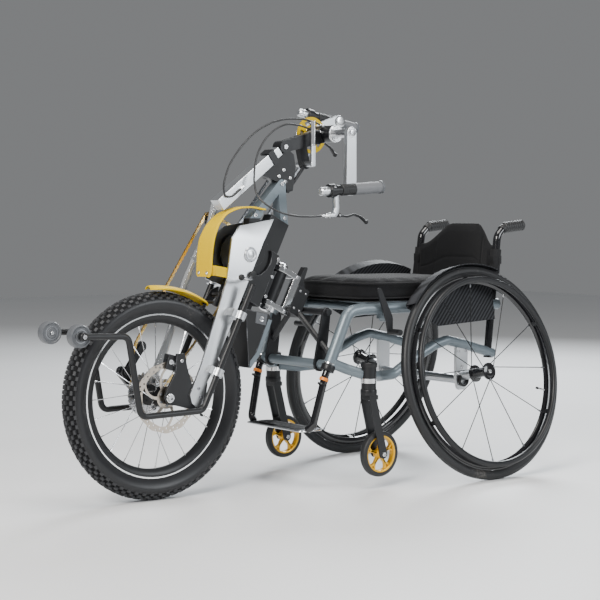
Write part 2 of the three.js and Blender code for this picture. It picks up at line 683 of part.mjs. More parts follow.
/** A plate of flat regions that meet at folds; each region is a list of places in X and Z. */
function foldedPlate(regions, thickness) {
  const position = [];
  const edges = new Map();
  const key = (place) => place.join(',');
  const outside = (place) => [place[0], plateFace(place), place[1]];
  const inside = (place) => [place[0], plateFace(place) - thickness, place[1]];
  for (const region of regions) {
    const contour = region.map(([x, z]) => new THREE.Vector2(x, z));
    for (const [a, b, c] of THREE.ShapeUtils.triangulateShape(contour, [])) {
      position.push(...outside(region[a]), ...outside(region[b]), ...outside(region[c]));
      position.push(...inside(region[a]), ...inside(region[c]), ...inside(region[b]));
    }
    region.forEach((place, i) => {
      const next = region[(i + 1) % region.length];
      edges.set(`${key(place)}>${key(next)}`, [place, next]);
    });
  }
  for (const [a, b] of edges.values()) {
    if (!edges.has(`${key(b)}>${key(a)}`)) {
      position.push(...outside(a), ...inside(a), ...inside(b));
      position.push(...outside(a), ...inside(b), ...outside(b));
    }
  }
  const geometry = new THREE.BufferGeometry();
  geometry.setAttribute('position', new THREE.BufferAttribute(new Float32Array(position), 3));
  return solid(geometry);
}

/** The collars that a stand's leaning tube turns in, with the blocks that carry them, on the left side. */
function standCollars(heights, inner_y, forward) {
  const parts = [];
  const holes = [];
  for (const height of heights) {
    const ring = post(0, 0, stand.collar_radius, -stand.collar_half, stand.collar_half, 16);
    const arm = box(-stand.block_back, forward, inner_y - stand.y, 0, -stand.collar_half, stand.collar_half);
    const hole = post(0, 0, stand.radius + gap, -stand.collar_half - overrun, stand.collar_half + overrun, 16);
    const x = standX(height);
    parts.push(placed(ring, x, stand.y, height, -head_lean), placed(arm, x, stand.y, height, -head_lean));
    holes.push(placed(hole, x, stand.y, height, -head_lean));
  }
  return { parts, holes };
}

/** The left fork plate with its folds and the stand's collars. */
function leftForkPlate() {
  const front_end = splayEnd(plate.waist_front, plate.toe);
  const back_end = splayEnd(plate.waist_back, plate.heel);
  const regions = [
    [plate.tip, plate.shoulder_back, plate.shoulder, plate.crown],
    [plate.shoulder, plate.shoulder_back, plate.waist_back, plate.waist_front],
    [plate.waist_front, plate.waist_back, back_end, front_end],
    [front_end, back_end, plate.heel, plate.heel_round, plate.toe_low, plate.toe_round, plate.toe],
  ];
  let body = foldedPlate(regions, plate.thickness);
  const collars = standCollars(left_collar_heights, plate.outer_y + bite, stand.block_forward);
  body = join([body, ...collars.parts]);
  for (const hole of collars.holes) {
    body = body.subtract(hole);
  }
  return body;
}

/** The right side of the fork: upper plate, tube leg, idler pin, dropout and the stand's collars. */
function rightForkSide() {
  const regions = [
    [plate.tip, plate.shoulder_back, plate.shoulder, plate.crown],
    [plate.shoulder, plate.shoulder_back, plate.waist_back, plate.waist_front],
  ];
  let upper = mirrored(foldedPlate(regions, plate.thickness));
  upper = upper.subtract(drum(motor.x, motor.z, motor_shaft.hole, -plate.outer_y - overrun, 0));
  const leg_tube = tube(roundedPath(leg.route, leg.bend), leg.radius);
  const lug = drum(leg.lug[0], leg.lug[1], leg.lug_radius, leg.lug_y0, -boom.half_width - seat, 16);
  const pin_end = lower_chain.y - chain.half_width - bite;
  const pin = drum(...lower_chain.idler, idler.pin_radius, leg.lug_y0, pin_end, 12);
  const tie = box(leg.tie_x0, leg.tie_x1, leg.tie_y, -plate.outer_y + bite, leg.tie_z0, leg.tie_z1);
  const foot = slab(dropout.right_outline, -dropout.y1, -dropout.y0);
  const upper_collar = standCollars([right_collar_heights[0]], plate.outer_y - bite, stand.block_back);
  const lower_collar = standCollars([right_collar_heights[1]], dropout.y1 - bite, stand.block_back);
  const collars = [...upper_collar.parts, ...lower_collar.parts].map(mirrored);
  let body = join([upper, leg_tube, lug, pin, tie, foot, ...collars]);
  for (const hole of [...upper_collar.holes, ...lower_collar.holes]) {
    body = body.subtract(mirrored(hole));
  }
  return body;
}

/** The steering column: main box between the plates, neck, web and head tube. */
function steeringColumn() {
  const main = box(column.back, column.front, -column.half_width, column.half_width, column.bottom, column.top);
  const neck = box(column.neck_back, column.neck_front, -column.neck_half, column.neck_half,
    column.top - bite, column.neck_top);
  const web = box(0, column.back + bite, -column.web_half_width, column.web_half_width,
    -column.web_half_height, column.web_half_height);
  const head_tube = post(0, 0, column.tube_radius, -column.tube_half, column.tube_half);
  const foot = box(column.foot_back, column.foot_front, -column.foot_half, column.foot_half,
    column.foot_bottom, column.bottom + bite);
  const body = onHead(join([main, neck, web, head_tube, foot]));
  return body.subtract(drum(motor.x, motor.z, motor.radius + gap, -column.half_width - overrun,
    column.half_width + overrun));
}

/** The motor: a drum with narrower ends and the strut's lug. */
function motorHousing() {
  const shell = placed(turned([
    [0, -motor.end_half], [motor.end_radius, -motor.end_half], [motor.end_radius, -motor.half_width],
    [motor.radius, -motor.half_width], [motor.radius, motor.half_width], [motor.end_radius, motor.half_width],
    [motor.end_radius, motor.end_half], [0, motor.end_half],
  ], round_sides), motor.x, 0, motor.z);
  const lug = box(motor.lug_back, motor.lug_front, -motor.lug_half, motor.lug_half, motor.z, motor.lug_top);
  const trimmed = lug.subtract(onHead(box(column.back, column.neck_front + gap, -column.half_width,
    column.half_width, -column.half_width, column.neck_top + overrun)));
  return shell.add(trimmed);
}

/** The battery case, with the pocket that takes the column's foot. */
function batteryCase() {
  const pocket = onHead(box(column.foot_back - seat, column.foot_front + seat, -column.foot_half - seat,
    column.foot_half + seat, column.foot_bottom - seat, column.top));
  return slab(battery.outline, -battery.half_width, battery.half_width).subtract(pocket);
}

/** The yoke that holds the head tube from above and below. */
function dockYoke() {
  const pads = [1, -1].map((side) => post(0, 0, yoke.pad_radius, side * yoke.pad_in, side * yoke.pad_out));
  const bars = [1, -1].map((side) => box(-yoke.back, 0, -yoke.half_width, yoke.half_width,
    side * yoke.pad_in, side * yoke.pad_out));
  const back = box(-yoke.back, -yoke.inner_back, -yoke.half_width, yoke.half_width, -yoke.pad_out, yoke.pad_out);
  const caps = [1, -1].map((side) => post(0, 0, yoke.cap_radius, side * (yoke.pad_out - bite), side * yoke.cap_top));
  return onHead(join([...pads, ...bars, back, ...caps]));
}

/** The strut's two branches and its top, grown by a margin on every side. */
function strutShape(margin) {
  const half_depth = strut.half_depth + margin;
  const half_width = strut.half_width + margin;
  const branch = (to) => {
    const [x, z] = strut.apex;
    const length = Math.hypot(to[0] - x, to[1] - z) + strut.half_depth;
    const bar = box(0, length, -half_width, half_width, -half_depth, half_depth);
    return placed(bar, x, 0, z, -Math.atan2(to[1] - z, to[0] - x));
  };
  const top = drum(...strut.apex, half_depth, -half_width, half_width, 16);
  return join([branch(strut.front_foot), branch(strut.back_foot), top]);
}

/** The inverted V strut: its feet are cut flat on the motor's lug and on the column's neck. */
function boomStrut() {
  const lug_floor = box(motor.lug_back - seat, 0, -column.front, column.front, 0, motor.lug_top + seat);
  const neck = onHead(box(0, column.front, -column.half_width, column.half_width, 0, column.neck_top + seat));
  return strutShape(0).subtract(lug_floor).subtract(neck);
}

/** The boom's outer box tube, open at the rear end. */
function boomOuter() {
  const outer = box(0, boom.length, -boom.half_width, boom.half_width, -boom.half_height, boom.half_height);
  const bore = box(-overrun, boom.socket, -boom.half_width + boom.wall, boom.half_width - boom.wall,
    -boom.half_height + boom.wall, boom.half_height - boom.wall);
  return onBoom(outer.subtract(bore));
}

/** The boom's inner tube. */
function boomInner() {
  const half_width = boom.half_width - boom.wall - gap;
  const half_height = boom.half_height - boom.wall - gap;
  return onBoom(box(-boom.inner_out, boom.inner_in, -half_width, half_width, -half_height, half_height));
}

/** The crank carrier: clamp collar, gusset, knuckle, arm, crank bearing, release shaft's ear and stay rod. */
function crankCarrier() {
  const [crank_x, crank_z] = boomPlace(crank.x, crank.z);
  const half_width = boom.half_width - boom.wall;
  const half_height = boom.half_height - boom.wall;
  const collar = box(carrier.collar_back, carrier.collar_front, -carrier.collar_half_width,
    carrier.collar_half_width, -carrier.collar_top, carrier.collar_top);
  const hole = box(-boom.inner_out - gap, boom.inner_in, -half_width, half_width, -half_height, half_height);
  const gusset = slab(carrier.gusset, -carrier.half_width, carrier.half_width);
  const knuckle = drum(carrier.knuckle, 0, carrier.knuckle_radius, -carrier.knuckle_half, carrier.knuckle_half);
  const arm = slab(linkOutline([carrier.knuckle, 0], carrier.arm_radius, [crank_x, crank_z],
    carrier.arm_end_radius), -carrier.half_width, carrier.half_width);
  const body = onBoom(join([collar, gusset]).subtract(hole).add(knuckle).add(arm));
  const bearing = drum(crank.x, crank.z, carrier.bearing_radius, -carrier.bearing_half, carrier.bearing_half);
  const ear_top = [release.x + release.eye_radius, crank.z - 2 * release.eye_radius];
  const ear = slab(linkOutline([release.x, release.z], release.eye_radius, ear_top, release.eye_radius),
    -release.ear_half, release.ear_half);
  const rod_body = rod([stay.top[0], stay.y, stay.top[1]], [stay.bottom[0], stay.y, stay.bottom[1]], stay.radius, 8);
  const pins = [stay.top, stay.bottom].map(([x, z]) => drum(x, z, stay.radius, 0, stay.y + stay.radius, 8));
  const axle_hole = drum(crank.x, crank.z, crank.axle_radius + gap, -carrier.bearing_half - overrun,
    carrier.bearing_half + overrun);
  const shaft_hole = drum(release.x, release.z, release.shaft_radius + gap, -release.ear_half - overrun,
    release.ear_half + overrun, 16);
  return join([body, bearing, ear, rod_body, ...pins]).subtract(axle_hole).subtract(shaft_hole)
    .subtract(strutShape(seat));
}

/** The release lever: its cross shaft, flat arm and sleeve. */
function releaseLever() {
  const shaft = drum(release.x, release.z, release.shaft_radius, -release.half_length,
    release.plate_y + release.plate_thick, 16);
  const arm = box(release.x - release.plate_half, release.x + release.plate_half, release.plate_y,
    release.plate_y + release.plate_thick, release.z - release.plate_half, release.plate_top);
  const sleeve_y = release.plate_y + release.plate_thick / 2;
  const sleeve = post(release.x, sleeve_y, release.sleeve_radius, release.plate_top - bite,
    release.sleeve_top, tube_sides);
  return join([shaft, arm, sleeve]);
}

/** A band between rows of [x, z, right y, left y], of even thickness, its outer face on the rows. */
function band(rows, thickness) {
  const outer = [];
  const inner = [];
  rows.forEach(([x, z, right, left], i) => {
    const before = rows[Math.max(i - 1, 0)];
    const after = rows[Math.min(i + 1, rows.length - 1)];
    const run = new THREE.Vector2(after[0] - before[0], after[1] - before[1]).normalize();
    const dx = -run.y * thickness;
    const dz = run.x * thickness;
    outer.push([[x, right, z], [x, left, z]]);
    inner.push([[x + dx, right, z + dz], [x + dx, left, z + dz]]);
  });
  return sheet(outer, inner);
}

/** The chain guard band with the leaf that is screwed to the left plate. */
function chainGuard() {
  const leaf = slab(guard.leaf, guard.leaf_y0, guard.leaf_y1);
  const tab = box(guard.tab_back, guard.tab_front, guard.tab_y0, guard.leaf_y1, guard.tab_z0, guard.tab_z1);
  return join([band(guard.rows, guard.thickness), leaf, tab]);
}

/** The mudguard: an arc over the tyre, with the bracket that reaches the left plate. */
function mudguardBody() {
  const rows = [];
  const steps = 10;
  for (let i = 0; i <= steps; i += 1) {
    const angle = radians(mudguard_start_deg + (mudguard_end_deg - mudguard_start_deg) * i / steps);
    const x = mudguard_radius * Math.cos(angle);
    const z = front.radius + mudguard_radius * Math.sin(angle);
    rows.push([x, z, -mudguard.half_width, mudguard.half_width]);
  }
  const bracket = slab(mudguard.bracket, mudguard.bracket_y0, mudguard.bracket_y);
  return band(rows.reverse(), mudguard.thickness).add(bracket);
}

/** One stand leg: the leaning tube, the run beside the wheel and the roller's pin, on the left side. */
function standLeg() {
  const route = [
    [stand.top_x, stand.y, stand.top_z], [standX(stand.foot_z), stand.y, stand.foot_z],
    [stand.reach[0], stand.y, stand.reach[1]], [stand.knee[0], stand.y, stand.knee[1]],
    [stand.axle[0], stand.y, stand.axle[1]],
  ];
  const leg_tube = tube(roundedPath(route, stand.bend), stand.radius);
  const pin = drum(...stand.axle, stand.pin_radius, stand.pin_end, stand.y, 12);
  return leg_tube.add(pin);
}

/** A stand roller with its bore, on the left side. */
function standRoller() {
  return drum(...stand.axle, stand.roller_radius, stand.roller_y0, stand.roller_y1)
    .subtract(drum(...stand.axle, stand.pin_radius + gap, stand.roller_y0 - overrun, stand.roller_y1 + overrun, 12));
}

// Chains

/**
 * The closed path of a chain round wheels given as {x, z, radius, sense}, sense being -1 for the wheels that
 * the chain goes round with the rest and 1 for the one that it bends back over. Between two wheels the chain
 * follows the tangent that leaves one and meets the next, running in the direction of travel.
 */
function chainPath(wheels, arc_step) {
  const count = wheels.length;
  const tangents = wheels.map((wheel, i) => {
    const next = wheels[(i + 1) % count];
    const dx = next.x - wheel.x;
    const dz = next.z - wheel.z;
    const offset = next.sense * next.radius - wheel.sense * wheel.radius;
    const heading = Math.atan2(dz, dx) - Math.asin(offset / Math.hypot(dx, dz));
    const leave = [-Math.sin(heading), Math.cos(heading)];
    return {
      heading,
      start: [wheel.x - wheel.sense * wheel.radius * leave[0], wheel.z - wheel.sense * wheel.radius * leave[1]],
      end: [next.x - next.sense * next.radius * leave[0], next.z - next.sense * next.radius * leave[1]],
    };
  });
  const path = [];
  wheels.forEach((wheel, i) => {
    const into = tangents[(i + count - 1) % count];
    const out = tangents[i];
    let turn = out.heading - into.heading;
    while (turn * wheel.sense < 0) {
      turn += wheel.sense * 2 * Math.PI;
    }
    while (turn * wheel.sense >= 2 * Math.PI) {
      turn -= wheel.sense * 2 * Math.PI;
    }
    const steps = Math.max(1, Math.ceil(Math.abs(turn) / arc_step));
    for (let k = 0; k <= steps; k += 1) {
      const heading = into.heading + turn * k / steps;
      const x = wheel.x + wheel.sense * wheel.radius * Math.sin(heading);
      const z = wheel.z - wheel.sense * wheel.radius * Math.cos(heading);
      path.push({ x, z, heading });
    }
  });
  return path;
}

/** A chain as a band of even height and width along its closed path. */
function chainBody(wheels, y) {
  const path = chainPath(wheels, radians(15));
  const corners = [[1, 1], [1, -1], [-1, -1], [-1, 1]];
  const rings = path.map(({ x, z, heading }) => corners.map(([out, across]) => [
    x - out * chain.half_height * Math.sin(heading), y + across * chain.half_width,
    z + out * chain.half_height * Math.cos(heading),
  ]));
  return closedLoop(rings);
}

const engaged = (radius) => radius - chain.half_height - chain.relief;

const upper_wheels = [
  { x: crank.x, z: crank.z, radius: upper_chain.crank_radius, sense: -1 },
  { x: motor.x, z: motor.z, radius: upper_chain.motor_radius, sense: -1 },
];
const lower_wheels = [
  { x: motor.x, z: motor.z, radius: lower_chain.ring_radius, sense: -1 },
  { x: lower_chain.idler[0], z: lower_chain.idler[1], radius: lower_chain.idler_radius, sense: -1 },
  { x: lower_chain.tension[0], z: lower_chain.tension[1], radius: lower_chain.jockey_radius, sense: -1 },
  { x: lower_chain.guide[0], z: lower_chain.guide[1], radius: lower_chain.jockey_radius, sense: 1 },
  { x: 0, z: front.radius, radius: lower_chain.cog_radius, sense: -1 },
];

/** A sprocket in a chain's plane. */
function sprocket(x, z, radius, y) {
  return drum(x, z, engaged(radius), y - sprocket_half, y + sprocket_half);
}

/** The motor's two sprockets on their shaft. */
function motorSprocket() {
  const shaft = drum(motor.x, motor.z, motor_shaft.radius, upper_chain.y - sprocket_half - bite,
    -column.half_width - gap, 16);
  const hub = drum(motor.x, motor.z, crank.hub_radius, upper_chain.y - sprocket_half,
    lower_chain.y + chain.half_width + gap, 16);
  return join([
    shaft, hub,
    sprocket(motor.x, motor.z, lower_chain.ring_radius, lower_chain.y),
    sprocket(motor.x, motor.z, upper_chain.motor_radius, upper_chain.y),
  ]);
}

/** The idler that leads the lower chain past the tyre. */
function idlerWheel() {
  const disc = sprocket(...lower_chain.idler, lower_chain.idler_radius, lower_chain.y);
  const hub = drum(...lower_chain.idler, idler.hub_radius, lower_chain.y - chain.half_width,
    lower_chain.y + chain.half_width - bite, 16);
  const bore = drum(...lower_chain.idler, idler.pin_radius + gap, lower_chain.y - column.half_width,
    lower_chain.y + column.half_width, 12);
  return disc.add(hub).subtract(bore);
}

/** The crank axle with its sprocket and disc guard. */
function crankAxle() {
  return join([
    drum(crank.x, crank.z, crank.axle_radius, -crank.axle_end, crank.axle_end),
    drum(crank.x, crank.z, crank.hub_radius, upper_chain.y - chain.half_width, crank.disc_y1),
    drum(crank.x, crank.z, crank.disc_radius, crank.disc_y0, crank.disc_y1, 32),
    sprocket(crank.x, crank.z, upper_chain.crank_radius, upper_chain.y),
  ]);
}

/** A handle's own frame, with the bar along Y, turned to lie fore and aft at the end of the left arm. */
const onHandle = (body, turn_deg) => placed(placed(body, 0, 0, 0, 0, 0, radians(90)),
  crank.x, handle.bar_y, crank.z - crank.length, radians(turn_deg));
const onLeftHandle = (body) => onHandle(body, handle_tilt_deg);

/** The left crank arm, bored for the axle and for the handle's spindle. */
function crankArm() {
  const eye = [crank.x, crank.z - crank.length];
  const blade = slab(linkOutline([crank.x, crank.z], crank.boss_radius, eye, crank.eye_radius),
    crank.arm_y0, crank.arm_y1);
  const axle_hole = drum(crank.x, crank.z, crank.axle_radius + gap, crank.arm_y0 - overrun, crank.arm_y1 + overrun);
  const eye_hole = drum(...eye, handle.core + gap, crank.arm_y0 - overrun, crank.arm_y1 + overrun);
  return blade.subtract(axle_hole).subtract(eye_hole);
}

/** A handle: spindle with its head, grip and end flange, rubber, neck, clamp, cap, and the lever's horn. */
function handleBody() {
  const bar = turned([
    [0, handle.cap_end], [handle.cap_radius, handle.cap_end], [handle.cap_radius, handle.clamp_end],
    [handle.clamp_radius, handle.clamp_end], [handle.clamp_radius, handle.clamp_start],
    [handle.neck_radius, handle.clamp_start], [handle.neck_radius, handle.rubber_start],
    [handle.rubber_radius, handle.rubber_start], [handle.rubber_radius, handle.grip_start],
    [handle.grip_radius, handle.grip_start], [handle.grip_radius, handle.grip_end],
    [handle.flange_radius, handle.grip_end], [handle.flange_radius, handle.flange_end], [0, handle.flange_end],
  ], round_sides);
  const spindle = rod([handle.head_end - bite - handle.bar_y, 0, 0], [0, 0, 0], handle.core, round_sides);
  const spindle_head = rod([handle.head_start - handle.bar_y, 0, 0], [handle.head_end - handle.bar_y, 0, 0],
    handle.head_radius, round_sides);
  const horn = box(-handle.horn_half, handle.horn_half, handle.horn_front, handle.horn_back, -handle.horn_drop, 0);
  const nose = box(-handle.nose_half, handle.nose_half, handle.nose_front, handle.nose_back, -handle.nose_low,
    -handle.nose_high);
  return join([bar, spindle, spindle_head, horn, nose]);
}

/** A brake lever: a blade from its pivot under the horn, below the grip. */
function brakeLever() {
  const blade = tube(roundedPath(lever.route, lever.bend), lever.radius, 8);
  const eye = box(-lever.half_width, lever.half_width, lever.pivot - lever.half_width,
    lever.pivot + lever.half_width, lever.pivot_z - lever.radius, -handle.horn_drop - gap);
  return blade.add(eye);
}

/** A solid of the right crank, turned about the axle to where that crank stands. */
function onRightCrank(body) {
  return placed(mirrored(body).translate([-crank.x, 0, -crank.z]), crank.x, 0, crank.z,
    radians(right_crank_turn_deg));
}

/** A solid of the right handle, whose bar lies nearly level on its spindle like the left one. */
const onRightHandle = (body) => onRightCrank(onHandle(body, right_handle_tilt_deg - right_crank_turn_deg));

/** The caliper round the rotor's edge. */
function caliperBody() {
  const reach = caliper.radius;
  const body = box(reach - caliper.half_height, reach + caliper.half_height, caliper.y0, caliper.y1,
    -caliper.half_length, caliper.half_length);
  const slot = box(0, caliper.reach, rotor.y0 - caliper.slot, rotor.y1 + caliper.slot,
    -caliper.half_length - overrun, caliper.half_length + overrun);
  return placed(body.subtract(slot), 0, 0, front.radius, -radians(caliper_angle_deg));
}

/** The derailleur's body on the dropout, with the boss that the cage turns on. */
function derailleurBody() {
  const mount = [8, 276];
  const outline = linkOutline(mount, front.shell_radius, lower_chain.guide, front.shell_radius);
  const outer = -dropout.y1 - seat;
  const body = slab(outline, outer - front.shell_radius, outer);
  const boss = drum(...lower_chain.guide, idler.hub_radius, outer, -dropout.y0 + gap, 16);
  return body.add(boss);
}

/** The derailleur's cage: two side plates, two jockey wheels and their pins. */
function derailleurCage() {
  const { guide, tension, y, jockey_radius } = lower_chain;
  const near = y - chain.half_width - 2 * gap;
  const far = y + chain.half_width + 2 * gap;
  const outline = linkOutline(guide, idler.hub_radius, tension, idler.hub_radius);
  return join([
    slab(outline, near - sprocket_half, near), slab(outline, far, far + sprocket_half),
    sprocket(...guide, jockey_radius, y), sprocket(...tension, jockey_radius, y),
    drum(...guide, idler.pin_radius, near, far, 12), drum(...tension, idler.pin_radius, near, far, 12),
  ]);
}

// Dock and wheelchair

/** The dock's frame: block behind the yoke, cross tube, struts, and clamps round the front cross tube. */
function dockFrame() {
  const block = onHead(box(dock.block_back, dock.block_front, -dock.block_half, dock.block_half,
    dock.block_bottom, dock.block_top));
  const cross = drum(...dock.tube, dock.tube_radius, -dock.tube_half, dock.tube_half, 16);
  const parts = [block, cross];
  for (const side of [1, -1]) {
    const from = [dock.strut_from[0], side * dock.strut_from[1], dock.strut_from[2]];
    const to = [dock.strut_to[0], side * dock.strut_to[1], dock.strut_to[2]];
    parts.push(rod(from, to, dock.strut_radius));
    const y0 = side * dock.plate_y - dock.plate_half;
    const y1 = side * dock.plate_y + dock.plate_half;
    parts.push(slab(linkOutline(dock.tube, dock.clamp_radius / 2 + dock.plate_half, frame.cross,
      dock.clamp_radius), y0, y1));
  }
  const pivot = [dock_lever.x, dock_lever.z];
  for (const side of [1, -1]) {
    const outline = linkOutline(pivot, dock_lever.radius, dock_lever.ear_base, dock_lever.radius);
    parts.push(slab(outline, side * (dock_lever.y1 + gap), side * dock_lever.ear_y));
  }
  parts.push(drum(...pivot, dock_lever.pin, -dock_lever.ear_y, dock_lever.ear_y, 12));
  const body = join(parts);
  return body.subtract(drum(...frame.cross, frame.cross_radius + seat, -dock.tube_half, dock.tube_half));
}

/** The dock's lever, standing on its pivot beside the block. */
function dockLever() {
  const angle = radians(dock_lever_rest_deg);
  const tip = [dock_lever.x + dock_lever.length * Math.cos(angle), dock_lever.z + dock_lever.length * Math.sin(angle)];
  const blade = slab(linkOutline([dock_lever.x, dock_lever.z], dock_lever.radius, tip, dock_lever.half),
    dock_lever.y0, dock_lever.y1);
  return blade.subtract(drum(dock_lever.x, dock_lever.z, dock_lever.pin + gap, dock_lever.y0 - overrun,
    dock_lever.y1 + overrun, 12));
}

/** The welded chair frame. */
function chairFrame() {
  const side = [
    tube(roundedPath(frame.rail, frame.bend), frame.rail_radius),
    tube(roundedPath(frame.feeder, frame.lower_bend), frame.lower_radius),
    tube(roundedPath(frame.lower, frame.lower_bend), frame.lower_radius),
    post(caster.x, caster.y, caster.housing_radius, caster.housing_bottom, caster.housing_top),
    drum(frame.lock_x, frame.lock_z, frame.lock_radius, frame.rail[2][1], frame.lock_y, 16),
    box(frame.lock_x - frame.lock_radius, frame.lock_x + frame.lock_radius, frame.rail[2][1] - bite,
      frame.rail[2][1] + frame.lock_radius, frame.lock_z, frame.rail[2][2]),
  ];
  const holes = [
    rod(legPlace(-overrun), legPlace(frame.socket_depth), footrest.radius + gap, 16),
    post(caster.x, caster.y, caster.stem_radius + gap, caster.housing_bottom - overrun,
      caster.housing_top + overrun),
    rod(cane.foot_low, cane.knee, cane.radius + seat, 16),
  ];
  let left = join(side);
  for (const hole of holes) {
    left = left.subtract(hole);
  }
  const across = frame.rail[0][1];
  return join([
    left, mirrored(left),
    drum(...frame.cross, frame.cross_radius, -across, across, 16).subtract(join(
      [holes[0], mirrored(holes[0])])),
    drum(...frame.rear_cross, frame.rear_radius, -frame.rail[3][1], frame.rail[3][1], 16),
    drum(frame.rail[2][0] - frame.bend, frame.rail[2][2], frame.rear_radius, -across, across, 16),
  ]);
}

/** The camber tube, the axle plates that hang from the frame and the sleeves that reach the hubs. */
function axleAssembly() {
  const parts = [drum(rear.x, axle.tube_z, axle.tube_radius, -axle.tube_half, axle.tube_half)];
  const cut = axle.tube_radius;
  const outline = [
    [axle.plate_back, axle.plate_top], [axle.plate_front, axle.plate_top], [axle.plate_front, axle.tube_z],
    [axle.plate_front - cut / 2, axle.plate_low + cut / 2], [axle.plate_front - cut, axle.plate_low],
    [axle.plate_back + cut, axle.plate_low], [axle.plate_back, axle.plate_low + cut],
  ];
  const sleeve = turned([[0, axle.sleeve_start], [axle.sleeve_radius, axle.sleeve_start],
    [axle.sleeve_radius, axle.sleeve_end], [0, axle.sleeve_end]], round_sides);
  const saddle = tube(roundedPath(frame.lower, frame.lower_bend), frame.lower_radius + seat);
  const left = [
    slab(outline, axle.plate_y0 - bite, axle.plate_y1).subtract(saddle),
    placed(sleeve, rear.x, rear.y, rear.z, 0, camber),
  ];
  return join([...parts, ...left, ...left.map(mirrored)]);
}

/** The footrest: two tubes that go up into the frame's legs, the plate between them and its anti-slip mat. */
function footrestBody() {
  const left = tube(roundedPath([
    legPlace(frame.socket_depth - footrest.radius), legPlace(-footrest.neck), footrest.knee, footrest.foot,
  ], footrest.bend), footrest.radius);
  const tread = box(footrest.plate_back, footrest.plate_front, -footrest.foot[1], footrest.foot[1],
    footrest.plate_z0, footrest.plate_z1);
  const mat = box(footrest.plate_back + footrest.mat_edge, footrest.plate_front - footrest.mat_edge, -footrest.mat_half,
    footrest.mat_half, footrest.plate_z1 - bite, footrest.mat_z1);
  return join([left, mirrored(left), tread, mat]);
}

/** A place on the frame's left leg, at a distance up it from its lower end. */
function legPlace(distance) {
  const toe = new THREE.Vector3(...frame.rail[0]);
  const shin = new THREE.Vector3(...frame.rail[1]).sub(toe).normalize();
  const place = toe.addScaledVector(shin, distance);
  return [place.x, place.y, place.z];
}

/** A soft cushion: rounded corners and edges, a low crown and drawn-in sides. */
function cushionBody() {
  const columns = 24;
  const length = cushion.front - cushion.back;
  const half_length = length / 2;
  const middle = (cushion.front + cushion.back) / 2;
  const levels = [
    [0, cushion.round / 3], [cushion.height / 8, 0], [cushion.height / 2, cushion.drawn], [cushion.height * 7 / 8, 0],
    [cushion.height, cushion.round / 3], [cushion.height + cushion.crown / 2, cushion.round * 2],
    [cushion.height + cushion.crown, cushion.round * 5],
  ];
  const outline = (inset) => {
    const ring = [];
    for (let i = 0; i < columns; i += 1) {
      const angle = 2 * Math.PI * (i + 0.5) / columns;
      const c = Math.cos(angle);
      const s = Math.sin(angle);
      const power = 2 / 7;
      ring.push([
        middle + (half_length - inset) * Math.sign(c) * Math.abs(c) ** power,
        (cushion.half_width - inset) * Math.sign(s) * Math.abs(s) ** power,
      ]);
    }
    return ring;
  };
  const position = [];
  const rings = levels.map(([z, inset]) => outline(inset).map(([x, y]) => [x, y, cushion.z0 + z]));
  for (let k = 0; k < rings.length - 1; k += 1) {
    for (let i = 0; i < columns; i += 1) {
      const j = (i + 1) % columns;
      position.push(...rings[k][i], ...rings[k][j], ...rings[k + 1][j]);
      position.push(...rings[k][i], ...rings[k + 1][j], ...rings[k + 1][i]);
    }
  }
  const bottom = [middle, 0, cushion.z0];
  const top = [middle, 0, cushion.z0 + cushion.height + cushion.crown];
  for (let i = 0; i < columns; i += 1) {
    const j = (i + 1) % columns;
    position.push(...rings[0][j], ...rings[0][i], ...bottom);
    position.push(...rings[rings.length - 1][i], ...rings[rings.length - 1][j], ...top);
  }
  const geometry = new THREE.BufferGeometry();
  geometry.setAttribute('position', new THREE.BufferAttribute(new Float32Array(position), 3));
  return solid(geometry);
}

/** X of the left cane's centre line at a height, below its bend. */
function caneX(z) {
  const share = (z - cane.foot[2]) / (cane.knee[2] - cane.foot[2]);
  return cane.foot[0] + (cane.knee[0] - cane.foot[0]) * share;
}

/** Y of the left cane's centre line at a height, below its bend. */
function caneY(z) {
  const share = (z - cane.foot[2]) / (cane.knee[2] - cane.foot[2]);
  return cane.foot[1] + (cane.knee[1] - cane.foot[1]) * share;
}

/** The backrest: a curved pad with a raised middle and the sleeves round the canes. */
function backrestBody() {
  const across = 14;
  const up = 6;
  const front_face = [];
  const back_face = [];
  for (let i = 0; i <= up; i += 1) {
    const front_row = [];
    const back_row = [];
    for (let j = 0; j <= across; j += 1) {
      const y = backrest.half_width * (2 * j / across - 1);
      const share = Math.min(Math.max((Math.abs(y) - backrest.centre_half / 2) / backrest.centre_half, 0), 1);
      const smooth = share * share * (3 - 2 * share);
      const top = backrest.top + (backrest.shoulder - backrest.top) * smooth;
      const z = backrest.bottom + (top - backrest.bottom) * i / up;
      const round = Math.cos(Math.PI * y / (2 * backrest.half_width));
      const edge = Math.min(1, 0.35 + 2.6 * Math.min(i / up, 1 - i / up));
      const x = caneX(z) + backrest.forward - backrest.bulge * round;
      front_row.push([x + edge * backrest.thickness / 2, y, z]);
      back_row.push([x - edge * backrest.thickness / 2, y, z]);
    }
    front_face.push(front_row);
    back_face.push(back_row);
  }
  const at = (z) => [caneX(z), caneY(z), z];
  const sleeve = rod(at(backrest.sleeve_bottom), at(backrest.sleeve_top), backrest.sleeve, round_sides);
  const hole = rod(at(backrest.sleeve_bottom - backrest.sleeve), at(backrest.sleeve_top + backrest.sleeve),
    cane.radius + gap, round_sides);
  return join([sheet(front_face, back_face), sleeve, mirrored(sleeve)]).subtract(hole).subtract(mirrored(hole));
}

/** The left push handle: its cane, bend and grip. */
function pushHandle() {
  const stem = tube(roundedPath([cane.foot, cane.knee, cane.grip_start, cane.grip_end], cane.bend), cane.radius);
  const grip = rod(cane.grip_start, cane.grip_end, cane.grip_radius, 16);
  return stem.add(grip);
}

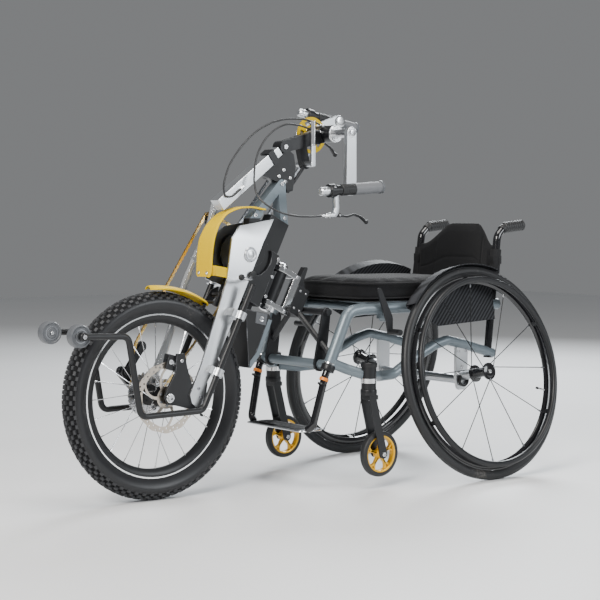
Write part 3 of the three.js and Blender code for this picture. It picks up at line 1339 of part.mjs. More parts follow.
/** The left side guard in its wheel's frame: a thin plate with a lip that arches over the tyre. */
function sideGuard() {
  const arc = (radius) => {
    const points = [];
    const steps = 12;
    for (let i = 0; i <= steps; i += 1) {
      const angle = radians(side_guard_start_deg + (side_guard_end_deg - side_guard_start_deg) * i / steps);
      points.push([radius * Math.cos(angle), radius * Math.sin(angle)]);
    }
    return points;
  };
  const skin = slab([...arc(side_guard.outer), side_guard.corner_low_back, side_guard.corner_low_front,
    side_guard.corner_front], side_guard.y0, side_guard.y1);
  const lip = slab([...arc(side_guard.outer), ...arc(side_guard.inner).reverse()], side_guard.y0, side_guard.lip);
  const body = placed(skin.add(lip), rear.x, rear.y, rear.z, 0, camber);
  const feet = side_guard.standoff_x.map((x) => {
    const outer = rear.y - (frame.rail[3][2] - rear.z) * Math.tan(camber) + side_guard.y0 / Math.cos(camber);
    return drum(rear.x + x, frame.rail[3][2], side_guard.standoff_radius,
      frame.rail[3][1], outer + side_guard.y1 - side_guard.y0, 12);
  });
  const saddle = tube(roundedPath(frame.rail, frame.bend), frame.rail_radius + seat);
  return join([body, join(feet).subtract(saddle)]);
}

/** The left caster fork: stem, crown and two legs, with the axle between them. */
function casterFork() {
  const stem = post(caster.x, caster.y, caster.stem_radius, caster.crown_bottom, caster.housing_top);
  const outer = caster.leg_gap + caster.leg_thickness;
  const crown = box(caster.x - caster.leg_half - caster.leg_thickness, caster.x + caster.leg_half,
    caster.y - outer, caster.y + outer, caster.crown_bottom, caster.crown_top);
  const parts = [stem, crown];
  for (const side of [1, -1]) {
    const y0 = caster.y + side * caster.leg_gap;
    const y1 = caster.y + side * outer;
    parts.push(slab(linkOutline([caster.x, caster.crown_bottom], caster.leg_half, [caster.axle_x, caster.axle_z],
      caster.leg_half), y0, y1));
  }
  parts.push(drum(caster.axle_x, caster.axle_z, caster.axle_radius, caster.y - outer, caster.y + outer, 12));
  return join(parts);
}

/** A caster wheel: rounded tyre, recessed sides and a bore. */
function casterWheel() {
  const w = caster.half_width;
  const shoulder = caster.radius - w / 2;
  const face = w - caster.hub_recess;
  return turned([
    [caster.bore, -w], [2 * caster.bore, -face], [caster.rim_radius, -face], [caster.rim_radius, -w],
    [shoulder, -w], [caster.radius, -w / 2], [caster.radius, w / 2], [shoulder, w],
    [caster.rim_radius, w], [caster.rim_radius, face], [2 * caster.bore, face], [caster.bore, w],
    [caster.bore, -w],
  ], 20);
}

/** The left wheel lock: a lever on its pivot with a stub that presses the tyre. */
function wheelLock() {
  const pivot = [frame.lock_x, frame.lock_z];
  const { plate_y0, plate_y1 } = wheel_lock;
  return join([
    slab(linkOutline(pivot, wheel_lock.pivot_radius, wheel_lock.handle_tip, wheel_lock.handle_half), plate_y0, plate_y1),
    slab(linkOutline(pivot, wheel_lock.pivot_radius, wheel_lock.stub, wheel_lock.arm_half), plate_y0, plate_y1),
    drum(...wheel_lock.stub, wheel_lock.stub_radius, plate_y1 - bite, wheel_lock.stub_end, 16),
  ]);
}

// Assembly

const vehicle = new THREE.Group();
const unit = new THREE.Group();
const dock_group = new THREE.Group();
const chair = new THREE.Group();
vehicle.add(unit, dock_group, chair);

// Drive unit: structure
addPiece(unit, 'fork_plate_left', leftForkPlate(), silver_metal());
addPiece(unit, 'fork_side_right', rightForkSide(), silver_metal());
addPiece(unit, 'dropout_left', slab(dropout.outline, dropout.y0, dropout.y1), black_metal());
addPiece(unit, 'steering_column', steeringColumn(), black_metal());
addPiece(unit, 'motor_housing', motorHousing(), black_metal());
addPiece(unit, 'battery', batteryCase(), black_plastic());
addPiece(unit, 'boom_outer', boomOuter(), silver_metal());
addPiece(unit, 'boom_inner', boomInner(), silver_metal());
addPiece(unit, 'boom_strut', boomStrut(), grey_paint());
addPiece(unit, 'crank_carrier', crankCarrier(), black_metal());
addPiece(unit, 'release_lever', releaseLever(), silver_metal());
addPiece(unit, 'chain_guard', chainGuard(), yellow_paint());
addPiece(unit, 'mudguard', mudguardBody(), yellow_paint());

// Drive unit: drive train
addPiece(unit, 'crank_axle', crankAxle(), steel());
addPiece(unit, 'motor_sprocket', motorSprocket(), steel());
addPiece(unit, 'idler_wheel', idlerWheel(), black_plastic());
addPiece(unit, 'upper_chain', chainBody(upper_wheels, upper_chain.y), chain_steel());
addPiece(unit, 'lower_chain', chainBody(lower_wheels, lower_chain.y), chain_steel());
addPiece(unit, 'derailleur_body', derailleurBody(), black_metal());
addPiece(unit, 'derailleur_cage', derailleurCage(), black_metal());
addPiece(unit, 'cassette', placed(cassetteBody(), 0, 0, front.radius), steel());

// Drive unit: cranks, handles, levers and stands
const sides = [['left', (body) => body], ['right', mirrored]];
addPiece(unit, 'crank_arm_left', crankArm(), silver_metal());
addPiece(unit, 'handle_left', onLeftHandle(handleBody()), grip_grey());
addPiece(unit, 'brake_lever_left', onLeftHandle(brakeLever()), black_metal());
addPiece(unit, 'crank_arm_right', onRightCrank(crankArm()), silver_metal());
addPiece(unit, 'handle_right', onRightHandle(handleBody()), grip_grey());
addPiece(unit, 'brake_lever_right', onRightHandle(brakeLever()), black_metal());
for (const [side, onSide] of sides) {
  addPiece(unit, `stand_leg_${side}`, onSide(standLeg()), black_metal());
  addPiece(unit, `stand_roller_${side}`, onSide(standRoller()), black_rubber());
}

// Drive unit: wheel and brake
addPiece(unit, 'front_tyre', placed(turned(tyreSection(front)), 0, 0, front.radius), black_rubber());
addPiece(unit, 'front_wheel', placed(frontWheel(), 0, 0, front.radius), black_metal());
addPiece(unit, 'brake_rotor', placed(brakeRotor(), 0, 0, front.radius), steel());
addPiece(unit, 'brake_caliper', caliperBody(), black_metal());
addPiece(unit, 'brake_cable', tube(roundedPath(cable.brake, cable.bend, 2), cable.radius, 8), black_plastic());
addPiece(unit, 'control_cable', tube(roundedPath(cable.control, cable.bend, 2), cable.radius, 8), black_plastic());

// Dock
addPiece(dock_group, 'dock_yoke', dockYoke(), polished_metal());
addPiece(dock_group, 'dock_frame', dockFrame(), black_metal());
addPiece(dock_group, 'dock_lever', dockLever(), black_plastic());

// Wheelchair
addPiece(chair, 'chair_frame', chairFrame(), grey_paint());
addPiece(chair, 'axle_assembly', axleAssembly(), silver_metal());
addPiece(chair, 'footrest', footrestBody(), black_metal());
addPiece(chair, 'seat_sling', box(sling.back, sling.front, -sling.half_width, sling.half_width, sling.z0, sling.z1),
  black_fabric());
addPiece(chair, 'seat_cushion', cushionBody(), black_fabric());
addPiece(chair, 'backrest', backrestBody(), black_fabric());
for (const [side, onSide] of sides) {
  addPiece(chair, `push_handle_${side}`, onSide(pushHandle()), black_rubber());
  addPiece(chair, `side_guard_${side}`, onSide(sideGuard()), carbon());
  addPiece(chair, `rear_tyre_${side}`,
    onSide(placed(turned(tyreSection(rear)), rear.x, rear.y, rear.z, 0, camber)), black_rubber());
  addPiece(chair, `rear_wheel_${side}`, onSide(placed(rearWheel(), rear.x, rear.y, rear.z, 0, camber)), black_metal());
  addPiece(chair, `caster_fork_${side}`, onSide(casterFork()), black_metal());
  addPiece(chair, `caster_wheel_${side}`,
    onSide(placed(casterWheel(), caster.axle_x, caster.y, caster.axle_z)), yellow_paint());
  addPiece(chair, `wheel_lock_${side}`, onSide(wheelLock()), black_metal());
}

// The origin: on the floor, under the middle of the box round the whole vehicle
const bounds = new THREE.Box3().setFromObject(vehicle);
const middle = bounds.getCenter(new THREE.Vector3());
vehicle.position.set(-middle.x, -middle.y, -bounds.min.z);
vehicle.updateMatrixWorld(true);

export default vehicle;
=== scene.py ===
# %% [markdown]
# A handcycle: a front drive unit with cranks, motor and battery, docked to a rigid-frame wheelchair.
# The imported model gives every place, in metres. This script dresses it: where a solid has the right
# shape, a copy gets broken edges and a finish; where the real piece is round, soft or finely divided,
# a new piece is worked out with numpy and stands for the solid.

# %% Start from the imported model
import json
import math

import bmesh
import bpy
import numpy as np
from mathutils import Matrix, Vector
from mathutils.geometry import delaunay_2d_cdt


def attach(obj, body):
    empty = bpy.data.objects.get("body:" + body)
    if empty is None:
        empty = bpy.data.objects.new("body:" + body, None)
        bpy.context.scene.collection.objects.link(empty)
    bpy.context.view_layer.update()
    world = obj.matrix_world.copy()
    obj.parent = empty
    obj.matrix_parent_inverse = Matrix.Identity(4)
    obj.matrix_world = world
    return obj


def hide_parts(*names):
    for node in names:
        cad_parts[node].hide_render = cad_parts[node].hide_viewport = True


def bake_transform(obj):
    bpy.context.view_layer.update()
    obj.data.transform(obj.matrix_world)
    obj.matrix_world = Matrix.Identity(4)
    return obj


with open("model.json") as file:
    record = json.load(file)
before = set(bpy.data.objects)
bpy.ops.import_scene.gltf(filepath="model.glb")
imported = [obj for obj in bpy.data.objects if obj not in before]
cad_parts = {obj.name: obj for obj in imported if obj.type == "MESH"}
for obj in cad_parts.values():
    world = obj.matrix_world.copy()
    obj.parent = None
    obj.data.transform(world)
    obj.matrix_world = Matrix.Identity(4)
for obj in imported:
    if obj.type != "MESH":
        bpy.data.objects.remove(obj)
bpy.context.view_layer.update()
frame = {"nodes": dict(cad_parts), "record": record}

# %% [markdown]
# The drawing measures in millimetres from the point where the front tyre meets the floor. The frame
# measures in metres from the middle of the vehicle. One function turns the first into the second, so
# that every number below can be the drawing's own.

# %% Places
FRONT_CONTACT = np.array([462.71, 0.0, 0.17])


def in_metres(points):
    """Drawing millimetres as frame metres: shift to the vehicle's middle, divide by a thousand."""
    return (np.asarray(points, float) + FRONT_CONTACT) / 1000


# %% [markdown]
# The camera stands where the photographer stood, low and to the left of the front wheel, and looks
# slightly down with a long lens. A pale floor and four large soft lights show the finishes without
# hiding the dark parts.

# %% Camera
CAMERA_PLACE = (2125.53, 3230.3, 710.41)
YAW, PITCH, ROLL = 0.6766, 0.0523, 0.007
LENS_PIXELS, PICTURE_PIXELS, SENSOR = 1529.43, 600.0, 36.0

sight = np.array([-math.sin(YAW) * math.cos(PITCH), -math.cos(YAW) * math.cos(PITCH), -math.sin(PITCH)])
level = np.cross(sight, [0, 0, 1.0])
level /= np.linalg.norm(level)
upright = np.cross(level, sight)
right = math.cos(ROLL) * level + math.sin(ROLL) * upright
upward = math.cos(ROLL) * upright - math.sin(ROLL) * level
lens = bpy.data.cameras.new("camera")
lens.sensor_width = SENSOR
lens.lens = LENS_PIXELS / PICTURE_PIXELS * SENSOR
lens.clip_end = 100
camera = bpy.data.objects.new("camera", lens)
bpy.context.scene.collection.objects.link(camera)
stand_point = np.eye(4)
stand_point[:3] = np.stack([right, upward, -sight, in_metres(CAMERA_PLACE)], 1)
camera.matrix_world = Matrix(stand_point.tolist())
bpy.context.scene.camera = camera
print("camera", camera.location[:], "lens", round(lens.lens, 2))


# %% Lights and sky
def soft_light(name, place, aim, watts, size, colour):
    """A square area light at a place, turned towards a point, both in metres."""
    lamp = bpy.data.lights.new(name, "AREA")
    lamp.energy, lamp.size, lamp.color = watts, size, colour
    holder = bpy.data.objects.new(name, lamp)
    bpy.context.scene.collection.objects.link(holder)
    holder.location = place
    holder.rotation_euler = (Vector(aim) - Vector(place)).to_track_quat("-Z", "Y").to_euler()


WARM, COOL = (1.0, 0.97, 0.93), (0.93, 0.97, 1.0)
soft_light("key_light", (3.4, 1.6, 2.7), (0.1, 0, 0.45), 190, 1.5, WARM)
soft_light("back_light", (-3.2, -2.4, 2.6), (-0.2, 0, 0.4), 190, 1.8, COOL)
soft_light("side_light", (-1.9, 3.6, 1.9), (-0.2, 0, 0.5), 85, 1.6, COOL)
soft_light("top_light", (0.4, 0.5, 4.0), (0, 0, 0.3), 120, 2.2, WARM)
sky = bpy.data.worlds.new("sky")
bpy.context.scene.world = sky
sky.use_nodes = True
sky.node_tree.nodes["Background"].inputs["Color"].default_value = (0.86, 0.88, 0.9, 1)
sky.node_tree.nodes["Background"].inputs["Strength"].default_value = 0.24

# %% [markdown]
# Shapes are pairs: an array of points and a list of integer arrays, one row of corners per face. A
# grid of points becomes quads, a profile is turned round an axis or carried along a path, and a small
# shape is stamped many times. All of it is whole-array arithmetic.


# %% Shapes from grids
TURN = 2 * np.pi


def grid(points, around=False, along=False, capped=False):
    """Quads between neighbours of a (rows, columns) grid.

    around joins the last column to the first, along the last row to the first, and capped closes the
    first and last rows with one flat face each.
    """
    rows, columns = points.shape[:2]
    i = np.arange(rows if along else rows - 1)[:, None]
    j = np.arange(columns if around else columns - 1)[None, :]
    after, beside = (i + 1) % rows, (j + 1) % columns
    corners = [i * columns + j, i * columns + beside, after * columns + beside, after * columns + j]
    faces = [np.stack(corners, -1).reshape(-1, 4)]
    if capped:
        ends = np.arange(columns)
        faces.append(np.stack([ends[::-1], ends + (rows - 1) * columns]))
    return points.reshape(-1, 3), faces


def together(*shapes):
    """Several shapes as one: the corner numbers of each are shifted past the points before it."""
    starts = np.cumsum([0] + [len(points) for points, _ in shapes])
    faces = [face + start for (_, some), start in zip(shapes, starts) for face in some]
    return np.concatenate([points for points, _ in shapes]), faces


def stamped(shape, places, axes):
    """One copy of a shape at each place; a copy's own x, y and z run along the rows of its axes."""
    points, faces = shape
    copies = np.einsum("pk,nkj->npj", points, axes) + np.asarray(places)[:, None]
    starts = np.arange(len(copies))[:, None, None] * len(points)
    return copies.reshape(-1, 3), [(face[None] + starts).reshape(-1, face.shape[1]) for face in faces]


# %% Turned shapes
def square_axes(axis):
    """Two unit directions square to an axis and to each other, then the axis itself."""
    axis = np.asarray(axis, float) / np.linalg.norm(axis)
    first = np.cross(axis, [0, 0, 1.0] if abs(axis[2]) < 0.9 else [1.0, 0, 0])
    first /= np.linalg.norm(first)
    return first, np.cross(axis, first), axis


def lathe(profile, centre=(0, 0, 0), axis=(0, 1, 0), count=48, closed=False):
    """A profile of [distance from the axis, place along it] turned round the axis.

    Each point is centre + along * axis + distance * (cos(a) * u + sin(a) * v) for count angles a.
    """
    u, v, n = square_axes(axis)
    distance, along = np.asarray(profile, float).T[:, :, None]
    a = np.linspace(0, TURN, count, endpoint=False)[None, :]
    ring = np.cos(a)[..., None] * u + np.sin(a)[..., None] * v
    points = np.asarray(centre, float) + along[..., None] * n + distance[..., None] * ring
    return grid(points, around=True, along=closed)


def rod(start, end, radius, edge=0.6, count=20):
    """A round bar between two points, its ends broken by a small slope."""
    start, end = np.asarray(start, float), np.asarray(end, float)
    length = np.linalg.norm(end - start)
    profile = [[0, 0], [radius - edge, 0], [radius, edge], [radius, length - edge], [radius - edge, length],
               [0, length]]
    return lathe(profile, start, end - start, count)


# %% Paths and sections
def rounded(corners, radius, steps=8):
    """A path whose inner corners are rounded by a quadratic curve.

    The curve starts and ends radius * tan(half the turn) before and after the corner, and never more
    than 0.45 of the shorter leg.
    """
    corners = np.asarray(corners, float)
    path = [corners[:1]]
    t = np.linspace(0, 1, steps + 1)[:, None]
    for before, here, after in zip(corners[:-2], corners[1:-1], corners[2:]):
        into, out = here - before, after - here
        shorter = min(np.linalg.norm(into), np.linalg.norm(out))
        into, out = into / np.linalg.norm(into), out / np.linalg.norm(out)
        half_turn = math.acos(min(1, into @ out)) / 2
        cut = min(radius * math.tan(half_turn), 0.45 * shorter)
        if half_turn < 0.02:
            path.append(here[None])
            continue
        start, end = here - into * cut, here + out * cut
        path.append((1 - t) ** 2 * start + 2 * t * (1 - t) * here + t ** 2 * end)
    return np.concatenate([*path, corners[-1:]])


def smooth_path(corners, count=160):
    """A rounded path resampled at equal distances and averaged three times with its neighbours."""
    path = rounded(corners, 400, 10)
    reach = np.concatenate([[0], np.cumsum(np.linalg.norm(np.diff(path, axis=0), axis=1))])
    at = np.linspace(0, reach[-1], count)
    even = np.stack([np.interp(at, reach, path[:, k]) for k in range(3)], 1)
    for _ in range(3):
        even[1:-1] = (even[:-2] + 2 * even[1:-1] + even[2:]) / 4
    return even


def circle(radius, count=20, centre=(0, 0)):
    """Points round a circle, as [across, up]."""
    a = np.linspace(0, TURN, count, endpoint=False)
    return np.stack([centre[0] + radius * np.cos(a), centre[1] + radius * np.sin(a)], 1)


def swept(path, section, up=(0, 1, 0), closed=False, scale=1.0):
    """A closed section carried along a path.

    The tangent at a point is the mean of its two legs' directions. The section's upward direction is
    what is left of up once its part along the tangent is taken away, and across is square to both.
    """
    path, section, up = np.asarray(path, float), np.asarray(section, float), np.asarray(up, float)
    legs = np.diff(np.concatenate([path, path[:1]]) if closed else path, axis=0)
    legs /= np.linalg.norm(legs, axis=1, keepdims=True)
    before = np.roll(legs, 1, 0) if closed else np.concatenate([legs[:1], legs])
    after = legs if closed else np.concatenate([legs, legs[-1:]])
    tangent = before + after
    tangent /= np.linalg.norm(tangent, axis=1, keepdims=True)
    above = up - (tangent @ up)[:, None] * tangent
    above /= np.linalg.norm(above, axis=1, keepdims=True)
    across = np.cross(tangent, above)
    scale = np.broadcast_to(scale, len(path))[:, None, None]
    points = path[:, None] + scale * (section[None, :, :1] * across[:, None] + section[None, :, 1:]
                                      * above[:, None])
    return grid(points, around=True, along=closed, capped=not closed)


# %% Flat pieces
def inside(points, loops):
    """The even-odd rule: inside is where a ray along x crosses the loops' edges an odd number of times."""
    start, end = np.concatenate(loops), np.concatenate([np.roll(loop, -1, 0) for loop in loops])
    x, z = points[:, :1], points[:, 1:]
    spans = (start[:, 1] > z) != (end[:, 1] > z)
    rise = np.where(end[:, 1] == start[:, 1], 1, end[:, 1] - start[:, 1])
    return (spans & (start[:, 0] + (z - start[:, 1]) * (end[:, 0] - start[:, 0]) / rise > x)).sum(1) % 2 == 1


def flat_piece(outline, holes, low, high):
    """A flat piece between y = low and y = high with its outline and holes given as [x, z].

    The faces are the triangles of a constrained Delaunay net whose middles are inside the outline and
    outside the holes; each loop gets a wall.
    """
    loops = [np.asarray(loop, float) for loop in (outline, *holes)]
    starts = np.cumsum([0] + [len(loop) for loop in loops])
    edges = [(int(s + k), int(s + (k + 1) % len(loop))) for s, loop in zip(starts, loops)
             for k in range(len(loop))]
    found = delaunay_2d_cdt([Vector(p) for p in np.concatenate(loops)], edges, [], 0, 1e-5)
    net = np.array([[v.x, v.y] for v in found[0]])
    triangles = np.array([list(face) for face in found[2]])
    triangles = triangles[inside(net[triangles].mean(1), loops)]
    sides = [(np.insert(net, 1, y, axis=1), [triangles[:, ::order]]) for y, order in ((low, 1), (high, -1))]
    walls = [grid(np.stack([np.insert(loop, 1, y, axis=1) for y in (low, high)]), around=True)
             for loop in loops]
    return together(*sides, *walls)


# %% Placing shapes
def moved(shape, axes=None, place=(0, 0, 0)):
    """A shape whose own x, y and z run along the rows of axes, shifted to a place."""
    points, faces = shape
    points = points if axes is None else points @ np.asarray(axes, float)
    return points + np.asarray(place, float), faces


def on_the_right(shape):
    """The same shape on the other side of the vehicle, with its faces turned to point out again."""
    points, faces = shape
    return points * [1, -1, 1], [face[:, ::-1] for face in faces]


def placed(parts, place=(0, 0, 0), axes=None):
    """(shape, finish) pairs with every shape turned onto its axes and shifted to a place."""
    return [(moved(shape, axes, place), material) for shape, material in parts]


def mirrored(parts):
    """(shape, finish) pairs on the other side of the vehicle."""
    return [(on_the_right(shape), material) for shape, material in parts]


def in_finish(material, shapes):
    """(shape, finish) pairs of several shapes in one finish."""
    return [(shape, material) for shape in shapes]


def hoop(profile, *where, **own):
    """A closed section turned round an axis, such as a washer's, a collar's or a rim's."""
    return lathe(profile, *where, closed=True, **own)


print("shape tools ready")

# %% [markdown]
# Finishes are shader networks. Five effects are node groups, built once: the cloudy tone and fine grain
# of paint and castings, the lines of brushed metal, the pebbles of rubber, the threads of cloth and the
# twill of carbon. Each gives a Shade and a Relief, so that one function can place any of them between
# two tones of a colour and under a bump. A sixth group says where dust settles or an edge is rubbed.


# %% Node tools
def node(tree, kind, inputs=None, **settings):
    """A shader node: settings are its own, inputs are values or sockets by name or number."""
    made = tree.nodes.new("ShaderNode" + kind)
    for key, value in settings.items():
        setattr(made, key, value)
    for key, value in (inputs or {}).items():
        if isinstance(value, bpy.types.NodeSocket):
            tree.links.new(value, made.inputs[key])
        else:
            made.inputs[key].default_value = value
    return made


def sum_of(tree, operation, a, b=0.0, c=0.0):
    """The output of one Math node."""
    return node(tree, "Math", {0: a, 1: b, 2: c}, operation=operation).outputs[0]


def effect(name, inputs=("Patch scale", "Grain scale"), outputs=("Shade", "Relief")):
    """An empty group with a Vector, some numbers in and some numbers out, and its two end nodes."""
    group = bpy.data.node_groups.new(name, "ShaderNodeTree")
    group.interface.new_socket("Vector", in_out="INPUT", socket_type="NodeSocketVector")
    for label in inputs:
        group.interface.new_socket(label, in_out="INPUT", socket_type="NodeSocketFloat")
    for label in outputs:
        group.interface.new_socket(label, in_out="OUTPUT", socket_type="NodeSocketFloat")
    return group, group.nodes.new("NodeGroupInput").outputs, group.nodes.new("NodeGroupOutput").inputs


def noise(tree, vector, scale, detail=2.0):
    """The value of a noise texture, about 0 to 1."""
    return node(tree, "TexNoise", {"Vector": vector, "Scale": scale, "Detail": detail}).outputs[0]


# %% Paint and brushed metal
paint_grain, given, out = effect("paint_grain")
paint_grain.links.new(noise(paint_grain, given["Vector"], given["Patch scale"], 4), out["Shade"])
paint_grain.links.new(noise(paint_grain, given["Vector"], given["Grain scale"]), out["Relief"])

brushed_grain, given, out = effect("brushed_grain")
lines = node(brushed_grain, "Mapping", {"Vector": given["Vector"], "Scale": (0.06, 1, 1),
                                        "Rotation": (0, 0.9, 0)})
brushed_grain.links.new(noise(brushed_grain, given["Vector"], given["Patch scale"], 3), out["Shade"])
brushed_grain.links.new(noise(brushed_grain, lines.outputs[0], given["Grain scale"], 3), out["Relief"])

# %% Rubber and cloth
rubber_grain, given, out = effect("rubber_grain")
pebbles = node(rubber_grain, "TexVoronoi", {"Vector": given["Vector"], "Scale": given["Grain scale"]})
rubber_grain.links.new(noise(rubber_grain, given["Vector"], given["Patch scale"], 5), out["Shade"])
rubber_grain.links.new(pebbles.outputs["Distance"], out["Relief"])

cloth_weave, given, out = effect("cloth_weave")
across = node(cloth_weave, "VectorMath", {0: given["Vector"], 1: (1, 0, 0.35)},
              operation="DOT_PRODUCT").outputs[1]
along = node(cloth_weave, "VectorMath", {0: given["Vector"], 1: (0, 1, 0.8)},
             operation="DOT_PRODUCT").outputs[1]
threads = [sum_of(cloth_weave, "SINE", sum_of(cloth_weave, "MULTIPLY", direction, given["Grain scale"]))
           for direction in (across, along)]
crossing = sum_of(cloth_weave, "MULTIPLY", *threads)
fuzz = noise(cloth_weave, given["Vector"], given["Patch scale"], 6)
cloth_weave.links.new(fuzz, out["Shade"])
cloth_weave.links.new(sum_of(cloth_weave, "MULTIPLY_ADD", crossing, 0.35, fuzz), out["Relief"])

# %% Carbon
# Twill: cell numbers i, j of a tow grid in X and Z; the lengthwise tow is on top where (i + j) mod 4 < 2.
# Shade is lighter on the tows on top, a painted sheen; Relief, the ridges of the tows, is the real weave.
carbon_twill_and_sheen, given, out = effect("carbon_twill_and_sheen")
parts = node(carbon_twill_and_sheen, "SeparateXYZ", {0: given["Vector"]}).outputs
cells = [sum_of(carbon_twill_and_sheen, "MULTIPLY", parts[k], given["Grain scale"]) for k in (0, 2)]
numbers = [sum_of(carbon_twill_and_sheen, "FLOOR", cell) for cell in cells]
turn = sum_of(carbon_twill_and_sheen, "FLOORED_MODULO", sum_of(carbon_twill_and_sheen, "ADD", *numbers), 4.0)
on_top = sum_of(carbon_twill_and_sheen, "LESS_THAN", turn, 2.0)
ridges = [sum_of(carbon_twill_and_sheen, "PINGPONG", cell, 0.5) for cell in cells]
soft = noise(carbon_twill_and_sheen, given["Vector"], given["Patch scale"], 3)
cloudy = sum_of(carbon_twill_and_sheen, "MULTIPLY", soft, 0.2)
carbon_twill_and_sheen.links.new(sum_of(carbon_twill_and_sheen, "MULTIPLY_ADD", on_top, 0.8, cloudy), out["Shade"])
carbon_twill_and_sheen.links.new(sum_of(carbon_twill_and_sheen, "ADD", *ridges), out["Relief"])

# %% Rubbed places
# A mask that is 1 where a cloudy noise, broken up by a finer one, is above a threshold.
rubbed, given, out = effect("rubbed", ("Scale", "Amount"), ("Mask",))
cloud = noise(rubbed, given["Vector"], given["Scale"], 3)
specks = noise(rubbed, given["Vector"], sum_of(rubbed, "MULTIPLY", given["Scale"], 14.0), 2)
both = sum_of(rubbed, "MULTIPLY_ADD", specks, 0.45, cloud)
above = sum_of(rubbed, "ADD", sum_of(rubbed, "SUBTRACT", both, 0.95),
               sum_of(rubbed, "MULTIPLY", given["Amount"], 0.55))
rubbed.links.new(node(rubbed, "Clamp", {0: sum_of(rubbed, "MULTIPLY", above, 5.0)}).outputs[0], out["Mask"])
print("effects", [group.name for group in bpy.data.node_groups])


# %% A finish
WEAR_SCALE, DUST_SCALE, DUST, DUST_COVER, DUST_ROUGHENS = 26.0, 11.0, (0.23, 0.21, 0.19), 0.5, 0.4


def patches(tree, place, scale, amount):
    """The rubbed group's mask at a scale, covering more the greater the amount."""
    mask = node(tree, "Group", node_tree=rubbed)
    tree.links.new(place, mask.inputs["Vector"])
    mask.inputs["Scale"].default_value, mask.inputs["Amount"].default_value = scale, amount
    return mask.outputs["Mask"]


def mixed(tree, share, first, second):
    """The colour at a share of the way from a first to a second."""
    return node(tree, "Mix", {0: share, 6: first, 7: second}, data_type="RGBA").outputs[2]


def finish(name, colour, rough, metal=0.0, grain=paint_grain, vary=0.14, spread=0.07, bump=0.3, depth=0.15,
           sizes=(9, 420), worn=None, dust=0.0, **own):
    """A material: two tones of a colour and a roughness range mixed by a grain group, with its bump.

    sizes are the scales of the patches and of the grain, per metre. worn is the colour and amount of bare
    metal that shows through, dust the amount of pale dust. own are the shader's constants.
    """
    made = bpy.data.materials.new(name)
    made.use_nodes = True
    tree = made.node_tree
    shader = tree.nodes["Principled BSDF"]
    place = node(tree, "TexCoord").outputs["Object"]
    pattern = node(tree, "Group", node_tree=grain)
    tree.links.new(place, pattern.inputs["Vector"])
    pattern.inputs["Patch scale"].default_value, pattern.inputs["Grain scale"].default_value = sizes
    shade, relief = pattern.outputs
    dark, light = [(*np.clip(np.array(colour) * k, 0, 1), 1) for k in (1 - vary, 1 + vary)]
    base = mixed(tree, shade, dark, light)
    mean = sum_of(tree, "MULTIPLY_ADD", shade, 2 * spread, max(rough - spread, 0.02))
    shader.inputs["Metallic"].default_value = metal
    if worn:
        share = patches(tree, place, WEAR_SCALE, worn[1])
        tree.links.new(share, shader.inputs["Metallic"])
        base = mixed(tree, share, base, (*worn[0], 1))
    if dust:
        share = sum_of(tree, "MULTIPLY", patches(tree, place, DUST_SCALE, dust), DUST_COVER)
        mean = sum_of(tree, "MULTIPLY_ADD", share, DUST_ROUGHENS, mean)
        base = mixed(tree, share, base, (*DUST, 1))
    tree.links.new(base, shader.inputs["Base Color"])
    tree.links.new(node(tree, "Clamp", {0: mean}).outputs[0], shader.inputs["Roughness"])
    height = node(tree, "Bump", {"Strength": bump, "Distance": depth / 1000, "Height": relief})
    tree.links.new(height.outputs[0], shader.inputs["Normal"])
    for label, value in own.items():
        shader.inputs[label.replace("_", " ")].default_value = value
    return made


# %% Metals
BARE = (0.72, 0.73, 0.75)
ALLOY, DARK_STEEL = (0.66, 0.68, 0.70), (0.30, 0.31, 0.33)
silver = finish("silver_alloy", ALLOY, 0.34, 1.0, brushed_grain, 0.07, 0.06, 0.25, 0.08, (7, 900))
silver_edge = finish("silver_edge", (0.86, 0.87, 0.88), 0.2, 1.0, brushed_grain, 0.05, 0.05, 0.2, 0.05,
                     (7, 900))
polished = finish("polished_alloy", (0.84, 0.85, 0.86), 0.12, 1.0, paint_grain, 0.04, 0.04, 0.06, 0.03,
                  (12, 900))
steel = finish("bolt_steel", (0.62, 0.63, 0.65), 0.26, 1.0, brushed_grain, 0.12, 0.08, 0.2, 0.05, (60, 1500))
dark_steel = finish("dark_steel", DARK_STEEL, 0.36, 1.0, brushed_grain, 0.2, 0.08, 0.25, 0.05, (30, 1200))
bronze = finish("rotor_steel", (0.56, 0.50, 0.43), 0.3, 1.0, brushed_grain, 0.16, 0.08, 0.3, 0.04, (24, 1500))
gold = finish("gold_chain", (0.72, 0.50, 0.17), 0.3, 1.0, paint_grain, 0.25, 0.1, 0.2, 0.05, (90, 900))

# %% Paints
slate = finish("slate_paint", (0.155, 0.19, 0.215), 0.4, 0.45, vary=0.1, bump=0.12, depth=0.06,
               sizes=(6, 1400), Coat_Weight=0.25, Coat_Roughness=0.3)
slate_edge = finish("slate_edge", (0.24, 0.28, 0.31), 0.34, 0.45, vary=0.1, bump=0.12, depth=0.06,
                    sizes=(6, 1400), worn=(BARE, 0.25), Coat_Weight=0.25, Coat_Roughness=0.3)
black = finish("black_paint", (0.0085, 0.009, 0.0105), 0.42, 0.0, vary=0.3, bump=0.25, depth=0.08,
               sizes=(10, 1600), Coat_Weight=0.12, Coat_Roughness=0.25, Specular_IOR_Level=0.35)
black_edge = finish("black_edge", (0.032, 0.034, 0.038), 0.3, 0.0, vary=0.2, bump=0.2, depth=0.06,
                    sizes=(10, 1600), worn=(DARK_STEEL, 0.35), Coat_Weight=0.2, Coat_Roughness=0.2)
gloss = finish("gloss_black", (0.007, 0.007, 0.0085), 0.16, 0.0, vary=0.3, bump=0.08, depth=0.05,
               sizes=(8, 900), Coat_Weight=0.4, Coat_Roughness=0.06)
yellow = finish("yellow_paint", (0.70, 0.47, 0.0), 0.5, 0.0, vary=0.06, bump=0.1, depth=0.05,
                sizes=(8, 900), Specular_IOR_Level=0.1)

